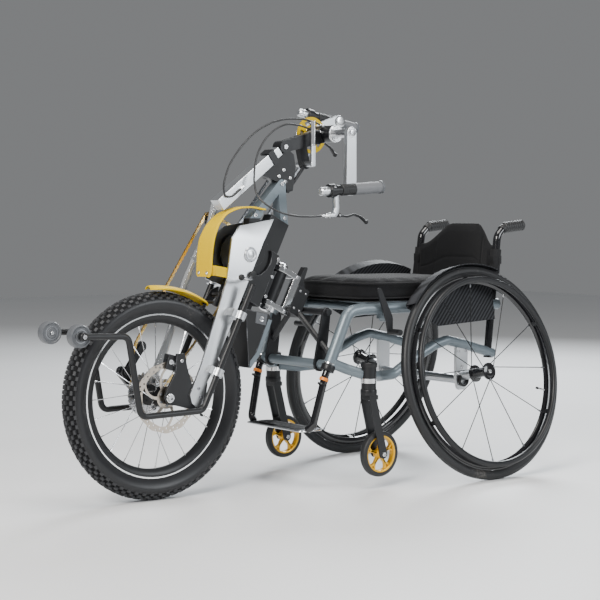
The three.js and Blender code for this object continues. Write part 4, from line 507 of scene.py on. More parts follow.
# %% Rubber, plastic and cloth
tread = finish("tread_rubber", (0.026, 0.027, 0.030), 0.6, 0.0, rubber_grain, 0.25, 0.1, 0.4, 0.25,
               (14, 900), dust=0.15)
# The rubber between the front tyre's knobs is darker than the knobs and the sidewall: painted shade between
# the knobs.
painted_shade_groove = finish("groove_rubber_painted_shade", (0.005, 0.0052, 0.006), 0.75, 0.0, rubber_grain, 0.25, 0.1, 0.4, 0.2,
                (14, 900), Specular_IOR_Level=0.2)
sidewall = finish("sidewall_rubber", (0.014, 0.0145, 0.0165), 0.38, 0.0, rubber_grain, 0.25, 0.06, 0.2, 0.1,
                  (9, 700), dust=0.05, Specular_IOR_Level=0.4)
rear_rubber = finish("rear_tyre_rubber", (0.014, 0.0145, 0.016), 0.46, 0.0, rubber_grain, 0.25, 0.08, 0.3,
                     0.15, (9, 800), dust=0.12, Specular_IOR_Level=0.4)
black_grip = finish("black_grip", (0.012, 0.0125, 0.0135), 0.52, 0.0, rubber_grain, 0.2, 0.08, 0.5, 0.3,
                    (30, 650))
grey_grip = finish("grey_grip", (0.15, 0.155, 0.165), 0.5, 0.0, rubber_grain, 0.14, 0.08, 0.5, 0.3, (30, 650))
grey_plastic = finish("grey_plastic", (0.10, 0.106, 0.116), 0.42, 0.0, vary=0.1, bump=0.3, depth=0.1,
                      sizes=(20, 900))
black_plastic = finish("black_plastic", (0.009, 0.0095, 0.0105), 0.48, 0.0, vary=0.25, bump=0.4, depth=0.12,
                       sizes=(12, 1100), Specular_IOR_Level=0.4)
housing = finish("cable_housing", (0.02, 0.0205, 0.022), 0.42, 0.0, vary=0.2, bump=0.2, depth=0.1,
                 sizes=(40, 900))
fabric = finish("cushion_fabric", (0.008, 0.0083, 0.0095), 0.9, 0.0, cloth_weave, 0.4, 0.08, 0.6, 0.5,
                (60, 3800), Sheen_Weight=0.06, Specular_IOR_Level=0.2)
webbing = finish("webbing", (0.008, 0.0083, 0.0095), 0.75, 0.0, cloth_weave, 0.3, 0.08, 0.7, 0.5,
                 (90, 2600), Sheen_Weight=0.05, Specular_IOR_Level=0.25)
# Carbon's two tones lie far apart, so that the tows on top read lighter: a painted sheen over the twill's
# real relief.
carbon = finish("carbon", (0.024, 0.025, 0.028), 0.62, 0.0, carbon_twill_and_sheen, 0.9, 0.06, 0.12, 0.08, (9, 300),
                Specular_IOR_Level=0.12)
gold_wheel = finish("gold_caster", (0.80, 0.44, 0.008), 0.34, 0.35, vary=0.1, bump=0.15, depth=0.05,
                    sizes=(20, 900), Coat_Weight=0.2)
amber = finish("amber_collar", (0.75, 0.22, 0.02), 0.4, 0.0, vary=0.1, bump=0.1, depth=0.05, sizes=(20, 900))
floor_paint = finish("pale_floor", (0.8, 0.81, 0.82), 0.55, 0.0, vary=0.03, bump=0.05, depth=0.3,
                     sizes=(1.5, 60))
print("finishes", len(bpy.data.materials))

# %% [markdown]
# Two functions make pieces. One turns shapes and their finishes into a mesh on its body. The other takes
# a copy of a solid whose form is right, merges its triangles into flat faces, and breaks its edges with a
# narrow bevel in a brighter finish, as a machined or painted part wears first along its edges.

# %% Pieces
record = frame["record"]
body_of = {name: body for body, names in record["behaviour"]["bodies"].items() for name in names}
MERGE_METRES = 2e-6


def on_stage(name, mesh, body):
    """An object for a mesh, in the scene, riding on its body if it has one alone."""
    piece = bpy.data.objects.new(name, mesh)
    bpy.context.scene.collection.objects.link(piece)
    if body:
        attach(piece, body)
    return piece


def mesh_of(name, parts):
    """A smooth mesh from (shape, finish) pairs, its points merged and its faces turned outwards."""
    points, faces = together(*[shape for shape, _ in parts])
    finishes = list(dict.fromkeys(material for _, material in parts))
    mesh = bpy.data.meshes.new(name)
    mesh.from_pydata(in_metres(points).tolist(), [], [row for some in faces for row in some.tolist()])
    counts = [sum(len(some) for some in own_faces) for (_, own_faces), _ in parts]
    mesh.polygons.foreach_set("material_index", np.repeat([finishes.index(m) for _, m in parts], counts))
    for material in finishes:
        mesh.materials.append(material)
    work = bmesh.new()
    work.from_mesh(mesh)
    bmesh.ops.remove_doubles(work, verts=work.verts, dist=MERGE_METRES)
    bmesh.ops.recalc_face_normals(work, faces=work.faces)
    work.to_mesh(mesh)
    work.free()
    mesh.shade_smooth()
    return mesh


def make(name, parts, body, slot, *nodes, sharp=34):
    """A piece from (shape, finish) pairs that replaces nodes; edges over a limit in degrees are sharp."""
    mesh = mesh_of(name, parts)
    mesh.set_sharp_from_angle(angle=math.radians(sharp))
    piece = on_stage(name, mesh, body)
    if nodes:
        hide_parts(*nodes)
    print(name, len(mesh.polygons), "faces")
    return piece


# %% Dressed copies
def dress(name, surface, edge, width):
    """A copy of a solid with flat faces merged and its sharp edges broken by a bevel in its own finish."""
    mesh = frame["nodes"][name].data.copy()
    work = bmesh.new()
    work.from_mesh(mesh)
    bmesh.ops.remove_doubles(work, verts=work.verts, dist=MERGE_METRES / 2)
    bmesh.ops.dissolve_limit(work, angle_limit=math.radians(1), verts=work.verts, edges=work.edges)
    work.to_mesh(mesh)
    work.free()
    mesh.materials.clear()
    mesh.materials.append(surface)
    mesh.materials.append(edge)
    mesh.polygons.foreach_set("material_index", np.zeros(len(mesh.polygons), int))
    mesh.shade_smooth()
    piece = on_stage(name + "_finished", mesh, body_of[name])
    bevel = piece.modifiers.new("broken_edges", "BEVEL")
    bevel.width, bevel.segments = width / 1000, 2
    bevel.limit_method, bevel.angle_limit = "ANGLE", math.radians(30)
    bevel.material = 1
    bevel.use_clamp_overlap = True
    weigh = piece.modifiers.new("flat_faces_rule", "WEIGHTED_NORMAL")
    weigh.keep_sharp = True
    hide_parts(name)
    return piece


# %% Bolt heads
def bolt(radius, height, socket=0.5, hexagonal=False, count=24):
    """A bolt head along its own z: a rounded drum, or a hexagon, with a hexagonal recess of a share of it.

    A hexagon's radius at angle a is r * cos(30 deg) / cos(a mod 60 deg - 30 deg).
    """
    a = np.linspace(0, TURN, count, endpoint=False)
    six = math.cos(math.pi / 6) / np.cos(np.mod(a, math.pi / 3) - math.pi / 6)
    outer = six if hexagonal else np.ones(count)
    rows = [(0, 0 * a), (0, outer), (0.82, outer), (1, 0.9 * outer), (1, socket * six), (0.4, socket * six),
            (0.4, 0 * a)]
    rings = [np.stack([radius * r * np.cos(a), radius * r * np.sin(a), np.full(count, z * height)], 1)
             for z, r in rows]
    return grid(np.stack(rings), around=True)


def bolts(places, radius, height, axis=(0, 1, 0), hexagonal=False):
    """The same bolt head at each place, standing along an axis."""
    axes = np.array([square_axes(axis)] * len(places))
    return stamped(bolt(radius, height, hexagonal=hexagonal), places, axes)


# %% Floor
FLOOR_REACH = 9
floor_corners = [(x * FLOOR_REACH, y * FLOOR_REACH, 0) for x, y in ((-1, -1), (1, -1), (1, 1), (-1, 1))]
floor_mesh = bpy.data.meshes.new("floor")
floor_mesh.from_pydata(floor_corners, [], [(0, 1, 2, 3)])
floor_mesh.materials.append(floor_paint)
floor = bpy.data.objects.new("floor", floor_mesh)
bpy.context.scene.collection.objects.link(floor)

# %% [markdown]
# The front wheel: a 20 inch knobbed tyre, a black rim with a bright braking line, 24 crossed spokes with
# silver nipples, a disc-brake hub and a rotor. The tyre could be a torus with a bump map, but its knobs
# stand out against the floor, so they are real blocks, stamped round a casing.

# %% Casings and knobs
FRONT_HUB = np.array([0, 0, 264.0])
CROWN, CASE_CENTRE, CASE_HALF, RIM_HALF, BEAD = 259.6, 235.0, 27.2, 14.2, 209.4
TREAD_EDGE, WALL_END, FINE = 62, 135, 96
KNOB_PITCHES, SUNK = 66, 0.4
# Each row of knobs: slant in degrees, offset in pitches, length, width and height
KNOB_ROWS = ((7, 0, 12, 7.4, 4.3), (-7, 0.5, 12, 7.4, 4.3), (24, 0.5, 11, 7.6, 4.3), (-24, 0, 11, 7.6, 4.3),
             (42, 0, 12, 7.6, 3.9), (-42, 0.5, 12, 7.6, 3.9), (60, 0.5, 11, 7.6, 3.2), (-60, 0, 11, 7.6, 3.2))


def casing(crown, centre, half_width, rim_half, bead, start, end, count):
    """Part of a tyre's section, [radius, y], between two angles a in degrees.

    It is (centre + (crown - centre) cos a, half_width sin a), and past 90 degrees the ellipse is blended
    towards the bead on the rim.
    """
    a = np.radians(np.linspace(start, end, count))
    radius = centre + (crown - centre) * np.cos(a)
    y = half_width * np.sin(a)
    low = np.clip((np.abs(a) - np.pi / 2) / (np.pi / 4), 0, 1) ** 1.5
    return np.stack([radius + (bead - radius) * low, y + (np.sign(a) * rim_half - y) * low], 1)


def front_casing(start, end, count):
    """Part of the front tyre's casing, turned round the hub."""
    section = casing(CROWN, CASE_CENTRE, CASE_HALF, RIM_HALF, BEAD, start, end, count)
    return lathe(section, FRONT_HUB, count=FINE)


def block(length, width, height, taper=0.82):
    """A tapered block along its own x, y and z, standing on z = 0."""
    side = np.array([[-1, -1], [1, -1], [1, 1], [-1, 1]]) / 2 * [length, width]
    rings = [np.insert(side, 2, 0, axis=1), np.insert(side * taper, 2, height, axis=1)]
    return grid(np.stack(rings), around=True, capped=True)


def round_wheel(angles, slants, radius, y):
    """Places on a tyre at angles about Y, and axes along the tread, across it and out of it."""
    c, s, cs, ss = np.cos(angles), np.sin(angles), np.cos(slants), np.sin(slants)
    zero = 0 * c
    out = np.stack([c * cs, ss, s * cs], 1)
    along = np.stack([-s, zero, c], 1)
    places = np.stack([radius * c, y + zero, radius * s], 1)
    return places, np.stack([along, np.cross(out, along), out], 1)


# %% Front tyre
knobs = []
for slant_deg, offset, length, width, height in KNOB_ROWS:
    turns = (np.arange(KNOB_PITCHES) + offset) * TURN / KNOB_PITCHES
    slant = math.radians(slant_deg)
    reach = CASE_CENTRE + (CROWN - CASE_CENTRE - SUNK) * math.cos(slant)
    offside = (CASE_HALF - SUNK) * math.sin(slant)
    places, axes = round_wheel(turns, np.full(KNOB_PITCHES, slant), reach, offside)
    knobs.append(stamped(block(length, width, height + SUNK), places, axes))
# The band of casing between the knobs takes the darker finish: painted shade between the knobs.
band = front_casing(-TREAD_EDGE, TREAD_EDGE, 19)
walls = [front_casing(side * TREAD_EDGE, side * WALL_END, 13) for side in (1, -1)]
bead_wall = lathe([[BEAD, RIM_HALF], [BEAD, -RIM_HALF]], FRONT_HUB, count=FINE)
make("front_tyre_knobbed", [*placed(in_finish(tread, knobs), FRONT_HUB), (band, painted_shade_groove),
                            *in_finish(sidewall, [*walls, bead_wall])],
     "front_wheel", "front_tyre_rubber", "front_tyre")


# %% Rims and spokes
def rim(bead, half, well, inner, crown_half):
    """A rim's closed section, [radius, y]: hooked edges, shoulders and a rounded crown."""
    side = [[bead, half], [bead, half - 2], [well + 1, half - 4], [well + 1, 0]]
    outer = [[bead - 5, half], [well - 4, half - 1.2], [inner + 4, crown_half + 3], [inner, crown_half],
             [inner - 0.6, 0]]
    return side + [[r, -y] for r, y in side[-2::-1]] + [[r, -y] for r, y in outer] + outer[-2::-1]


def crossed_spokes(count, lean_deg, hub_reach, flange_y, rim_reach, rim_y, thick):
    """Spokes from flanges to rim as three shapes: their wires, the nipples at the rim and the heads.

    In turn, each leaves its flange ahead of its place on the rim or behind it.
    """
    n = np.arange(count)
    side, turn = np.where(n % 2, -1, 1), np.where(n // 2 % 2, -1, 1)
    at_rim = TURN * n / count
    at_hub = at_rim + turn * math.radians(lean_deg)
    starts = np.stack([hub_reach * np.cos(at_hub), side * flange_y, hub_reach * np.sin(at_hub)], 1)
    ends = np.stack([rim_reach * np.cos(at_rim), side * rim_y, rim_reach * np.sin(at_rim)], 1)
    wires = together(*[rod(start, end, thick, 0.2, 8) for start, end in zip(starts, ends)])
    back = (starts - ends) / np.linalg.norm(starts - ends, axis=1, keepdims=True)
    sockets = together(*[rod(end - 1.5 * b, end + 11 * b, thick * 1.9, 0.5, 8) for end, b in zip(ends, back)])
    heads = together(*[rod(start, start + [0, s * 3.2, 0], thick * 1.8, 0.5, 8)
                       for start, s in zip(starts, side)])
    return wires, sockets, heads


# %% Front wheel
wires, sockets, heads = crossed_spokes(24, 38, 25, 27, 186, 1.4, 1.05)
front_rim = hoop(rim(209, 14, 200, 185, 5), count=FINE)
braking_lines = [hoop([[208.6, y], [208.6, y + out], [205, y + out], [205, y]], count=FINE)
                 for y, out in ((14, 0.25), (-14, -0.25))]
left_half = [[0, 61.6], [6, 61.6], [7, 60.6], [7, 51.5], [13, 51.5], [14, 50.5], [14, 32], [17, 30],
             [25, 28.8], [27, 28.4], [27, 25.6], [25, 25.2], [17, 23.5], [14.5, 20], [13.2, 8], [13, 0]]
right_half = [[0, -61.6], [6, -61.6], [7, -60.6], [7, -29.5], [13, -29.2], [25, -28.8], [27, -28.4],
              [27, -25.6], [25, -25.2], [17, -23.5], [14.5, -20], [13.2, -8]]
hub = lathe(left_half + right_half[::-1])
front_parts = [(front_rim, black), (wires, steel), (sockets, silver_edge), (heads, steel), (hub, black),
               *in_finish(silver_edge, braking_lines)]
make("front_wheel_laced", placed(front_parts, FRONT_HUB), "front_wheel", "black_paint", "front_wheel")

# %% [markdown]
# The rotor is a stamped steel ring on six curved arms. Its outline has twelve waves, as real rotors have,
# and each arm is a thin bent band, so both come from flat outlines with holes and get their thickness
# from walls round each loop.


# %% Flat outlines
def wavy(radius, waves, depth, count=144):
    """A closed outline whose radius is radius - depth * (1 - cos(waves * a)) / 2."""
    a = np.linspace(0, TURN, count, endpoint=False)
    r = radius - depth * (1 - np.cos(waves * a)) / 2
    return np.stack([r * np.cos(a), r * np.sin(a)], 1)


def bent_band(inner, outer, lean, width, count=10):
    """A flat arm from an inner to an outer radius; at a share t of the way it has turned by lean * t ** 1.6.

    Its width is least in the middle and half as much again at its ends.
    """
    t = np.linspace(0, 1, count)
    r, a = inner + (outer - inner) * t, lean * t ** 1.6
    half = width / 2 * (1 + 0.5 * (2 * t - 1) ** 2) / r
    left, right = a + half, a - half
    return np.concatenate([np.stack([r * np.cos(left), r * np.sin(left)], 1),
                           np.stack([r * np.cos(right), r * np.sin(right)], 1)[::-1]])


def turned_flat(outline, angle):
    """A flat outline turned by an angle about the origin."""
    c, s = math.cos(angle), math.sin(angle)
    return outline @ np.array([[c, s], [-s, c]])


def drilled(count, at, radius, sides, offset=0.0):
    """Outlines of round holes at equal angles on a circle, the first an offset in steps from +X."""
    return [turned_flat(circle(radius, sides, (at, 0)), TURN * (k + offset) / count) for k in range(count)]


def round_places(count, radius, y, offset=0.5):
    """Places at equal angles on a circle about Y in the plane y, the first an offset in steps from +X."""
    a = TURN * (np.arange(count) + offset) / count
    return np.stack([radius * np.cos(a), y + 0 * a, radius * np.sin(a)], 1)


# %% Rotor
ROTOR_BACK, ROTOR_FACE, ROTOR_ARMS, BOLT_CIRCLE, HOLE_STEPS = 52, 54, 6, 19.5, 24
holes = [turned_flat(circle(2.6, 10, (r, 0)), TURN * (k + offset) / HOLE_STEPS)
         for k in range(HOLE_STEPS) for r, offset in ((77 + 2.4 * (k % 2), 0), (84.6, 0.5))]
track = flat_piece(wavy(90, 12, 2.6), [wavy(72, 12, -1.6, 96), *holes], ROTOR_BACK, ROTOR_FACE)
arm_lines = [turned_flat(bent_band(26, 73, 0.5, 6.4), TURN * k / ROTOR_ARMS) for k in range(ROTOR_ARMS)]
arms = [flat_piece(line, [], ROTOR_BACK + 0.2, ROTOR_FACE - 0.2) for line in arm_lines]
spider = flat_piece(circle(28, 48), [circle(7.6, 24), *drilled(ROTOR_ARMS, BOLT_CIRCLE, 2.2, 8, 0.5)],
                    ROTOR_BACK, ROTOR_FACE)
rotor_bolts = bolts(round_places(ROTOR_ARMS, BOLT_CIRCLE, ROTOR_FACE), 3.4, 1.6)
rotor_parts = [*in_finish(bronze, [track, *arms, spider]), (rotor_bolts, dark_steel)]
make("brake_rotor_cut", placed(rotor_parts, FRONT_HUB), "front_wheel", "steel", "brake_rotor")

# %% [markdown]
# The rear wheels lean inwards by the camber, so a wheel is worked out upright round its own hub and then
# turned. Each has a smooth tyre on a deep black rim, twelve black spokes, and a pushrim on six tabs. The
# right one is the left one mirrored, with its faces turned back to point outwards.

# %% Camber and both sides
CAMBER = math.radians(11.4)
REAR_HUB = np.array([-921, 247, 291.0])
REAR_AXES = np.array([[1, 0, 0], [0, math.cos(CAMBER), math.sin(CAMBER)],
                      [0, -math.sin(CAMBER), math.cos(CAMBER)]])
SMOOTH, PUSHRIM_TABS = 128, 6


def about_y(angle_deg):
    """Axes turned about Y: x runs along (cos, 0, sin) and z along (-sin, 0, cos)."""
    c, s = math.cos(math.radians(angle_deg)), math.sin(math.radians(angle_deg))
    return np.array([[c, 0, s], [0, 1, 0], [-s, 0, c]])


def both_sides(name, parts, body, slot, *nodes):
    """A left piece from its parts and its mirror image, on bodies and nodes whose names end in the side."""
    for side, turn in (("left", list), ("right", mirrored)):
        make(f"{name}_{side}", turn(parts), body.format(side=side), slot,
             *[node_name.format(side=side) for node_name in nodes])


# %% Rear tyres
tyre = hoop(casing(297, 284, 13, 7.2, 272.4, -WALL_END, WALL_END, 31), count=SMOOTH)
tyre_lines = [hoop([[281, side * 12], [281.6, side * 13.2], [283.4, side * 13.2], [284, side * 12]],
                   count=SMOOTH) for side in (1, -1)]
tyre_tread = [hoop([[top, y - 1.3], [top, y + 1.3], [top - 1.95, y + 1.6], [top - 1.95, y - 1.6]],
                   count=SMOOTH) for y, top in ((0, 297.15), (4.4, 296.485), (-4.4, 296.485))]
tyre_parts = in_finish(rear_rubber, [tyre, *tyre_lines, *tyre_tread])
both_sides("rear_tyre_smooth", placed(tyre_parts, REAR_HUB, REAR_AXES), "rear_wheel_{side}",
           "rear_tyre_rubber", "rear_tyre_{side}")

# %% Rear wheels
rear_rim = hoop([[272, 7], [272, 5.4], [263, 4.6], [263, -4.6], [272, -5.4], [272, -7], [269, -7.6],
                 [266.6, -6.4], [263, -8.6], [256, -7.4], [250.5, -4.2], [249, -2.4], [249, 2.4],
                 [250.5, 4.2], [256, 7.4], [263, 8.6], [266.6, 6.4], [269, 7.6]], count=SMOOTH)
wires, sockets, heads = crossed_spokes(12, 30, 22, 27, 250, 1.6, 1.3)
hub = lathe([[0, 31], [7, 31], [8, 30], [15, 30], [16, 29.5], [23, 29.2], [24, 28.4], [24, 25.4],
             [22.5, 24.6], [16, 22], [13.4, 16], [12.6, 0], [13.4, -16], [16, -22], [22.5, -24.6],
             [24, -25.4], [24, -28.4], [23, -29.2], [15, -30], [0, -31]], count=40)
button = lathe([[0, 34.5], [4, 34.3], [5.4, 33.2], [5.8, 31], [5.8, 29], [0, 29]], count=24)
pushrim = hoop(circle(8.6, 18, (257, 31)), count=SMOOTH)
tab_path = rounded([[254, 5, 0], [251, 14, 0], [252, 30, 0]], 12, 5)
tab = swept(tab_path, [[-6, -1.6], [6, -1.6], [6, 1.6], [-6, 1.6]], (1, 0, 0))
tabs = [moved(tab, about_y(360 * (k + 0.5) / PUSHRIM_TABS)) for k in range(PUSHRIM_TABS)]
rear_parts = [(rear_rim, gloss), (wires, black), *in_finish(dark_steel, [sockets, heads]), (hub, gloss),
              (button, silver_edge), *in_finish(black, [pushrim, *tabs])]
both_sides("rear_wheel_laced", placed(rear_parts, REAR_HUB, REAR_AXES), "rear_wheel_{side}", "black_paint",
           "rear_wheel_{side}")

# %% [markdown]
# Casters: a soft tyre on a yellow wheel with five pairs of thin spokes, in the black fork of the model.

# %% Casters
CASTER_HUB, CASTER_SPOKES, CASTER_STEPS = np.array([-577, 206, 90.0]), 5, 64
soft_tyre = [[61.4 - 7 * (y / 12) ** 4, y] for y in np.linspace(-11.6, 11.6, 15)]
caster_tyre = hoop([*soft_tyre, [50.5, 11.2], [49, 9.5], [49, -9.5], [50.5, -11.2]], count=CASTER_STEPS)
caster_rim = hoop([[51, 9.3], [48, 9.8], [45, 8.6], [43.6, 5], [43.6, -5], [45, -8.6], [48, -9.8],
                   [51, -9.3]], count=CASTER_STEPS)
caster_core = hoop([[6.2, 11.5], [11, 11.5], [12.4, 10.4], [13.6, 6], [13.6, -6], [12.4, -10.4], [11, -11.5],
                    [6.2, -11.5]], count=40)
caster_bearings = [hoop([[6.4, side * 11.9], [9.6, side * 11.9], [9.6, side * 11.2], [6.4, side * 11.2]],
                        count=32) for side in (1, -1)]
caster_bands = [turned_flat(bent_band(11, 45.5, lean, 4.6, 8), TURN * k / CASTER_SPOKES + turn)
                for k in range(CASTER_SPOKES) for lean, turn in ((0.3, 0.2), (-0.3, 0.4))]
caster_spokes = [flat_piece(band, [], -4.2, 4.2) for band in caster_bands]
caster_parts = [(caster_tyre, black_grip), *in_finish(gold_wheel, [caster_rim, caster_core]),
                *in_finish(silver_edge, caster_bearings), *in_finish(gold_wheel, caster_spokes)]
both_sides("caster_wheel_spoked", placed(caster_parts, CASTER_HUB), "caster_wheel_{side}", "yellow_plastic",
           "caster_wheel_{side}")

# %% [markdown]
# The chair frame is welded tube. A swept circle gives truly round tubes with smooth bends, where the solid
# has eight flats. At each weld a low ring of overlapping scales is laid, as a hand-made bead looks.

# %% Tubes and welds
RAIL = [[-445, 145, 314], [-512, 150, 468], [-560, 152, 474], [-1062, 163, 474]]
FEEDER = [[-458, 148, 334], [-492, 168, 318], [-527, 197, 304]]
LOWER = [[-549, 196, 298], [-604, 168, 292], [-662, 165, 294], [-712, 165, 322], [-812, 165, 366],
         [-862, 165, 378], [-930, 165, 364], [-1046, 163, 333]]
RAIL_TUBE, LOWER_TUBE, FRONT_TUBE, CROSS_TUBE = 16, 14, 13, 11
FRONT_CROSS, MIDDLE_CROSS, REAR_CROSS = (-452, 328), (-612, 474), (-985, 474)
SHIN = np.subtract(RAIL[1], RAIL[0])
SHIN = SHIN / np.linalg.norm(SHIN)


def weld(place, axis, radius, thick=2.0, scales=26):
    """A bead round a tube: a ring whose thickness is thick * (1 + 0.25 cos(scales * a))."""
    u, v, n = square_axes(axis)
    a = np.linspace(0, TURN, scales * 4, endpoint=False)[:, None, None]
    b = np.linspace(0, TURN, 8, endpoint=False)[None, :, None]
    out = np.cos(a) * u + np.sin(a) * v
    t = thick * (1 + 0.25 * np.cos(scales * a))
    points = np.asarray(place, float) + out * (radius + t * np.cos(b)) + n * t * np.sin(b)
    return grid(points, around=True, along=True)


def cap(place, axis, radius):
    """A domed plastic plug in a tube's end."""
    profile = [[0, 3.2], [radius * 0.5, 2.8], [radius * 0.86, 1.6], [radius, 0.2], [radius, -1.5], [0, -1.5]]
    return lathe(profile, place, axis, 24)


def on_stem(profile, height=0):
    """A hoop round the left caster's stem, its section's places counted up from a height."""
    return hoop(profile, (-538, 206, height), (0, 0, 1), 40)


# %% Chair frame
tubes_left = [swept(rounded(RAIL, 52, 12), circle(RAIL_TUBE, 28)),
              swept(rounded(FEEDER, 40), circle(LOWER_TUBE, 24)),
              swept(rounded(LOWER, 40, 10), circle(LOWER_TUBE, 24))]
lock_pin = lathe([[0, 150], [10, 150], [10, 177], [9, 178], [0, 178]], (-630, 0, 448), count=28)
lock_tab = swept([[-630, 151, 446], [-630, 151, 470]], [[-10, -9], [10, -9], [10, 9], [-10, 9]], (1, 0, 0))
welds_left = [weld((-463, 150, 331), (1, -0.6, 0.45), 14.6), weld((-526, 196, 304.5), (1, -1, 0.3), 14.4),
              weld((-552, 194, 297.6), (1, 0.5, 0.1), 14.4), weld((-630, 163, 460), (0, 1, 0), 9)]
stem_housing = on_stem([[10.6, 254], [19, 254], [20, 255], [20, 331], [19, 332], [10.6, 332]])
shin_collar = hoop([[15.9, -1], [18.4, -1], [18.8, 0], [18.8, 15], [18.4, 16], [15.9, 16]], RAIL[0], SHIN, 32)
stem_foot = on_stem([[19.8, -4.4], [22, -4], [22.4, 0], [22.4, 9], [22, 10], [19.8, 10]], 254)
stem_head = on_stem([[19.8, -8], [22, -8], [22.4, -7], [22.4, 2], [19, 4.5], [10.6, 4.5]], 332)
stem_ring = on_stem([[20, 0], [21.4, 0], [21.4, 12], [20, 12]], 282)
shin_ring = hoop([[15.8, 17.5], [17, 17.5], [17, 21], [15.8, 21]], RAIL[0], SHIN, 32)
caps_left = [cap(RAIL[3], (-1, 0.02, 0), 15.6), cap(LOWER[-1], (-1, 0, -0.26), 13.6)]
left_parts = [*in_finish(slate, [*tubes_left, lock_pin, lock_tab, *welds_left]),
              *in_finish(black, [stem_housing, shin_collar, stem_foot, stem_head, *caps_left]),
              *in_finish(silver_edge, [stem_ring, shin_ring])]
cross_tubes, cross_welds = [], []
CROSS_TUBES = ((FRONT_CROSS, 143, 131, FRONT_TUBE, 28), (REAR_CROSS, 161, 146, CROSS_TUBE, 24),
               (MIDDLE_CROSS, 150, 138, CROSS_TUBE, 24))
for (x, z), reach, weld_y, radius, edges in CROSS_TUBES:
    cross_tubes.append(rod([x, -reach, z], [x, reach, z], radius, 0.2, edges))
    cross_welds += [weld((x, side * weld_y, z), (0, 1, 0), radius) for side in (1, -1)]
frame_bolt = [(bolts([[-630, 178, 448]], 6, 3), steel)]
make("chair_frame_welded", [*left_parts, *mirrored(left_parts),
                            *in_finish(slate, [*cross_tubes, *cross_welds]), *frame_bolt,
                            *mirrored(frame_bolt)], "chair", "grey_paint", "chair_frame")


# %% Footrest
PLATE_X, PLATE_HALF_X, PLATE_HALF_Y = -416.5, 38.5, 118
LEVEL = np.array([[1, 0, 0], [0, 0, 1], [0, 1, 0]])


def rounded_rectangle(half_x, half_y, radius, steps=5):
    """Corners of a rectangle as quarter circles, as [across, up]."""
    a = np.linspace(0, math.pi / 2, steps)
    quarter = np.stack([np.cos(a), np.sin(a)], 1) * radius + [half_x - radius, half_y - radius]
    return np.concatenate([quarter, quarter[::-1] * [-1, 1], -quarter, quarter[::-1] * [1, -1]])


def level_plate(half_x, half_y, low, high, radius, holes=()):
    """A level plate with rounded corners and holes, between two heights, on the footrest's middle."""
    return moved(flat_piece(rounded_rectangle(half_x, half_y, radius), holes, low, high), LEVEL,
                 (PLATE_X, 0, 0))


leg_top, leg_low = RAIL[0] + SHIN * 50, RAIL[0] - SHIN * 14
foot_tube = swept(rounded([leg_top, leg_low, [-407, 134, 168], [-402, 118, 158]], 20, 8), circle(10, 24))
foot_collars = [hoop([[10, a], [12.6, a + 0.6], [12.6, b - 0.6], [10, b]], leg_low, -SHIN, 28)
                for a, b in ((6, 15), (22, 27))]
foot_parts = [(foot_tube, gloss), (foot_collars[0], amber), (foot_collars[1], black)]
slots = [rounded_rectangle(16, 2.6, 2.4, 3) + [x, y] for x in (-14, 20) for y in np.arange(-90, 91, 18.0)]
footplate = level_plate(PLATE_HALF_X, PLATE_HALF_Y, 152, 157, 10)
mat = level_plate(PLATE_HALF_X - 5, PLATE_HALF_Y - 16, 156.6, 158.4, 8, slots)
plate_line = np.insert(rounded_rectangle(PLATE_HALF_X, PLATE_HALF_Y, 10), 2, 154.5, axis=1) + [PLATE_X, 0, 0]
foot_edge = swept(plate_line, circle(2.5, 10), (0, 0, 1), closed=True)
make("footrest_bent", [*foot_parts, *mirrored(foot_parts), (footplate, dark_steel), (foot_edge, silver_edge),
                       (mat, black_plastic)], "chair", "black_paint", "footrest")

# %% Push handles
CANE = [[-1027, 162, 321], [-1066, 158, 668], [-1092, 157, 692], [-1172, 157, 700]]
cane_path = rounded(CANE, 30, 12)
cane_tube = swept(cane_path, circle(11, 24))
grip_axis = np.subtract(CANE[3], CANE[2])
grip_rows = np.linspace(0, 1, 60)
grip_radius = 15.2 + 0.7 * np.cos(grip_rows * TURN * 9) * (np.abs(grip_rows - 0.5) < 0.4)
grip_radius = np.where(grip_rows > 0.9, 16.6 * np.sqrt(np.clip(1 - ((grip_rows - 0.9) / 0.1) ** 2, 0, 1)),
                       grip_radius)
grip_radius = np.where(grip_rows < 0.05, 12 + 3.2 * np.sqrt(np.clip(grip_rows / 0.05, 0, 1)), grip_radius)
push_grip = lathe(np.stack([grip_radius, grip_rows * np.linalg.norm(grip_axis)], 1), CANE[2], grip_axis, 36)
push_sleeve = swept(cane_path[-14:-1], circle(13, 28))
both_sides("push_handle_gripped", [(cane_tube, gloss), (push_grip, black_grip), (push_sleeve, black_grip)],
           "chair", "black_rubber", "push_handle_{side}")

# %% [markdown]
# The cushion is foam in a dark mesh cover: a crowned box whose sides pull in a little. Its form starts as
# a lofted superellipse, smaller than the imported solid. A cloth simulation with pressure inside swells it,
# and the piping is laid round it afterwards, because the remesh would swallow anything so thin.

# %% Soft forms
CUSHION_MIDDLE, CUSHION_HALF, CUSHION_LOW, OVAL_COLUMNS = (-770, 0), np.array([214, 166]), 494, 120
# Height above the cushion's foot, and inset of the outline there; the largest inset closes to a point
TO_A_POINT = 160
CUSHION_LEVELS = [(0, TO_A_POINT), (0, 60), (0.3, 16), (3, 9), (9, 6), (16, 7), (26, 8.5), (36, 7.5),
                  (44, 6.5), (49, 9), (52, 15), (54, 30), (55.5, 70), (56, TO_A_POINT)]


def oval(half, columns, power=2 / 6):
    """A superellipse: half * sign(cos a) * |cos a| ** power, and the same with sin."""
    a = (np.arange(columns) + 0.5) * TURN / columns
    wave = np.stack([np.cos(a), np.sin(a)], 1)
    return half * np.sign(wave) * np.abs(wave) ** power


def lofted(levels):
    """Rings of the cushion's oval at (height, inset) levels."""
    rings = []
    for height, inset in levels:
        ring = oval(CUSHION_HALF - inset, OVAL_COLUMNS) if inset < TO_A_POINT else np.zeros((OVAL_COLUMNS, 2))
        rings.append(np.insert(ring + CUSHION_MIDDLE, 2, CUSHION_LOW + height, axis=1))
    return grid(np.stack(rings), around=True)


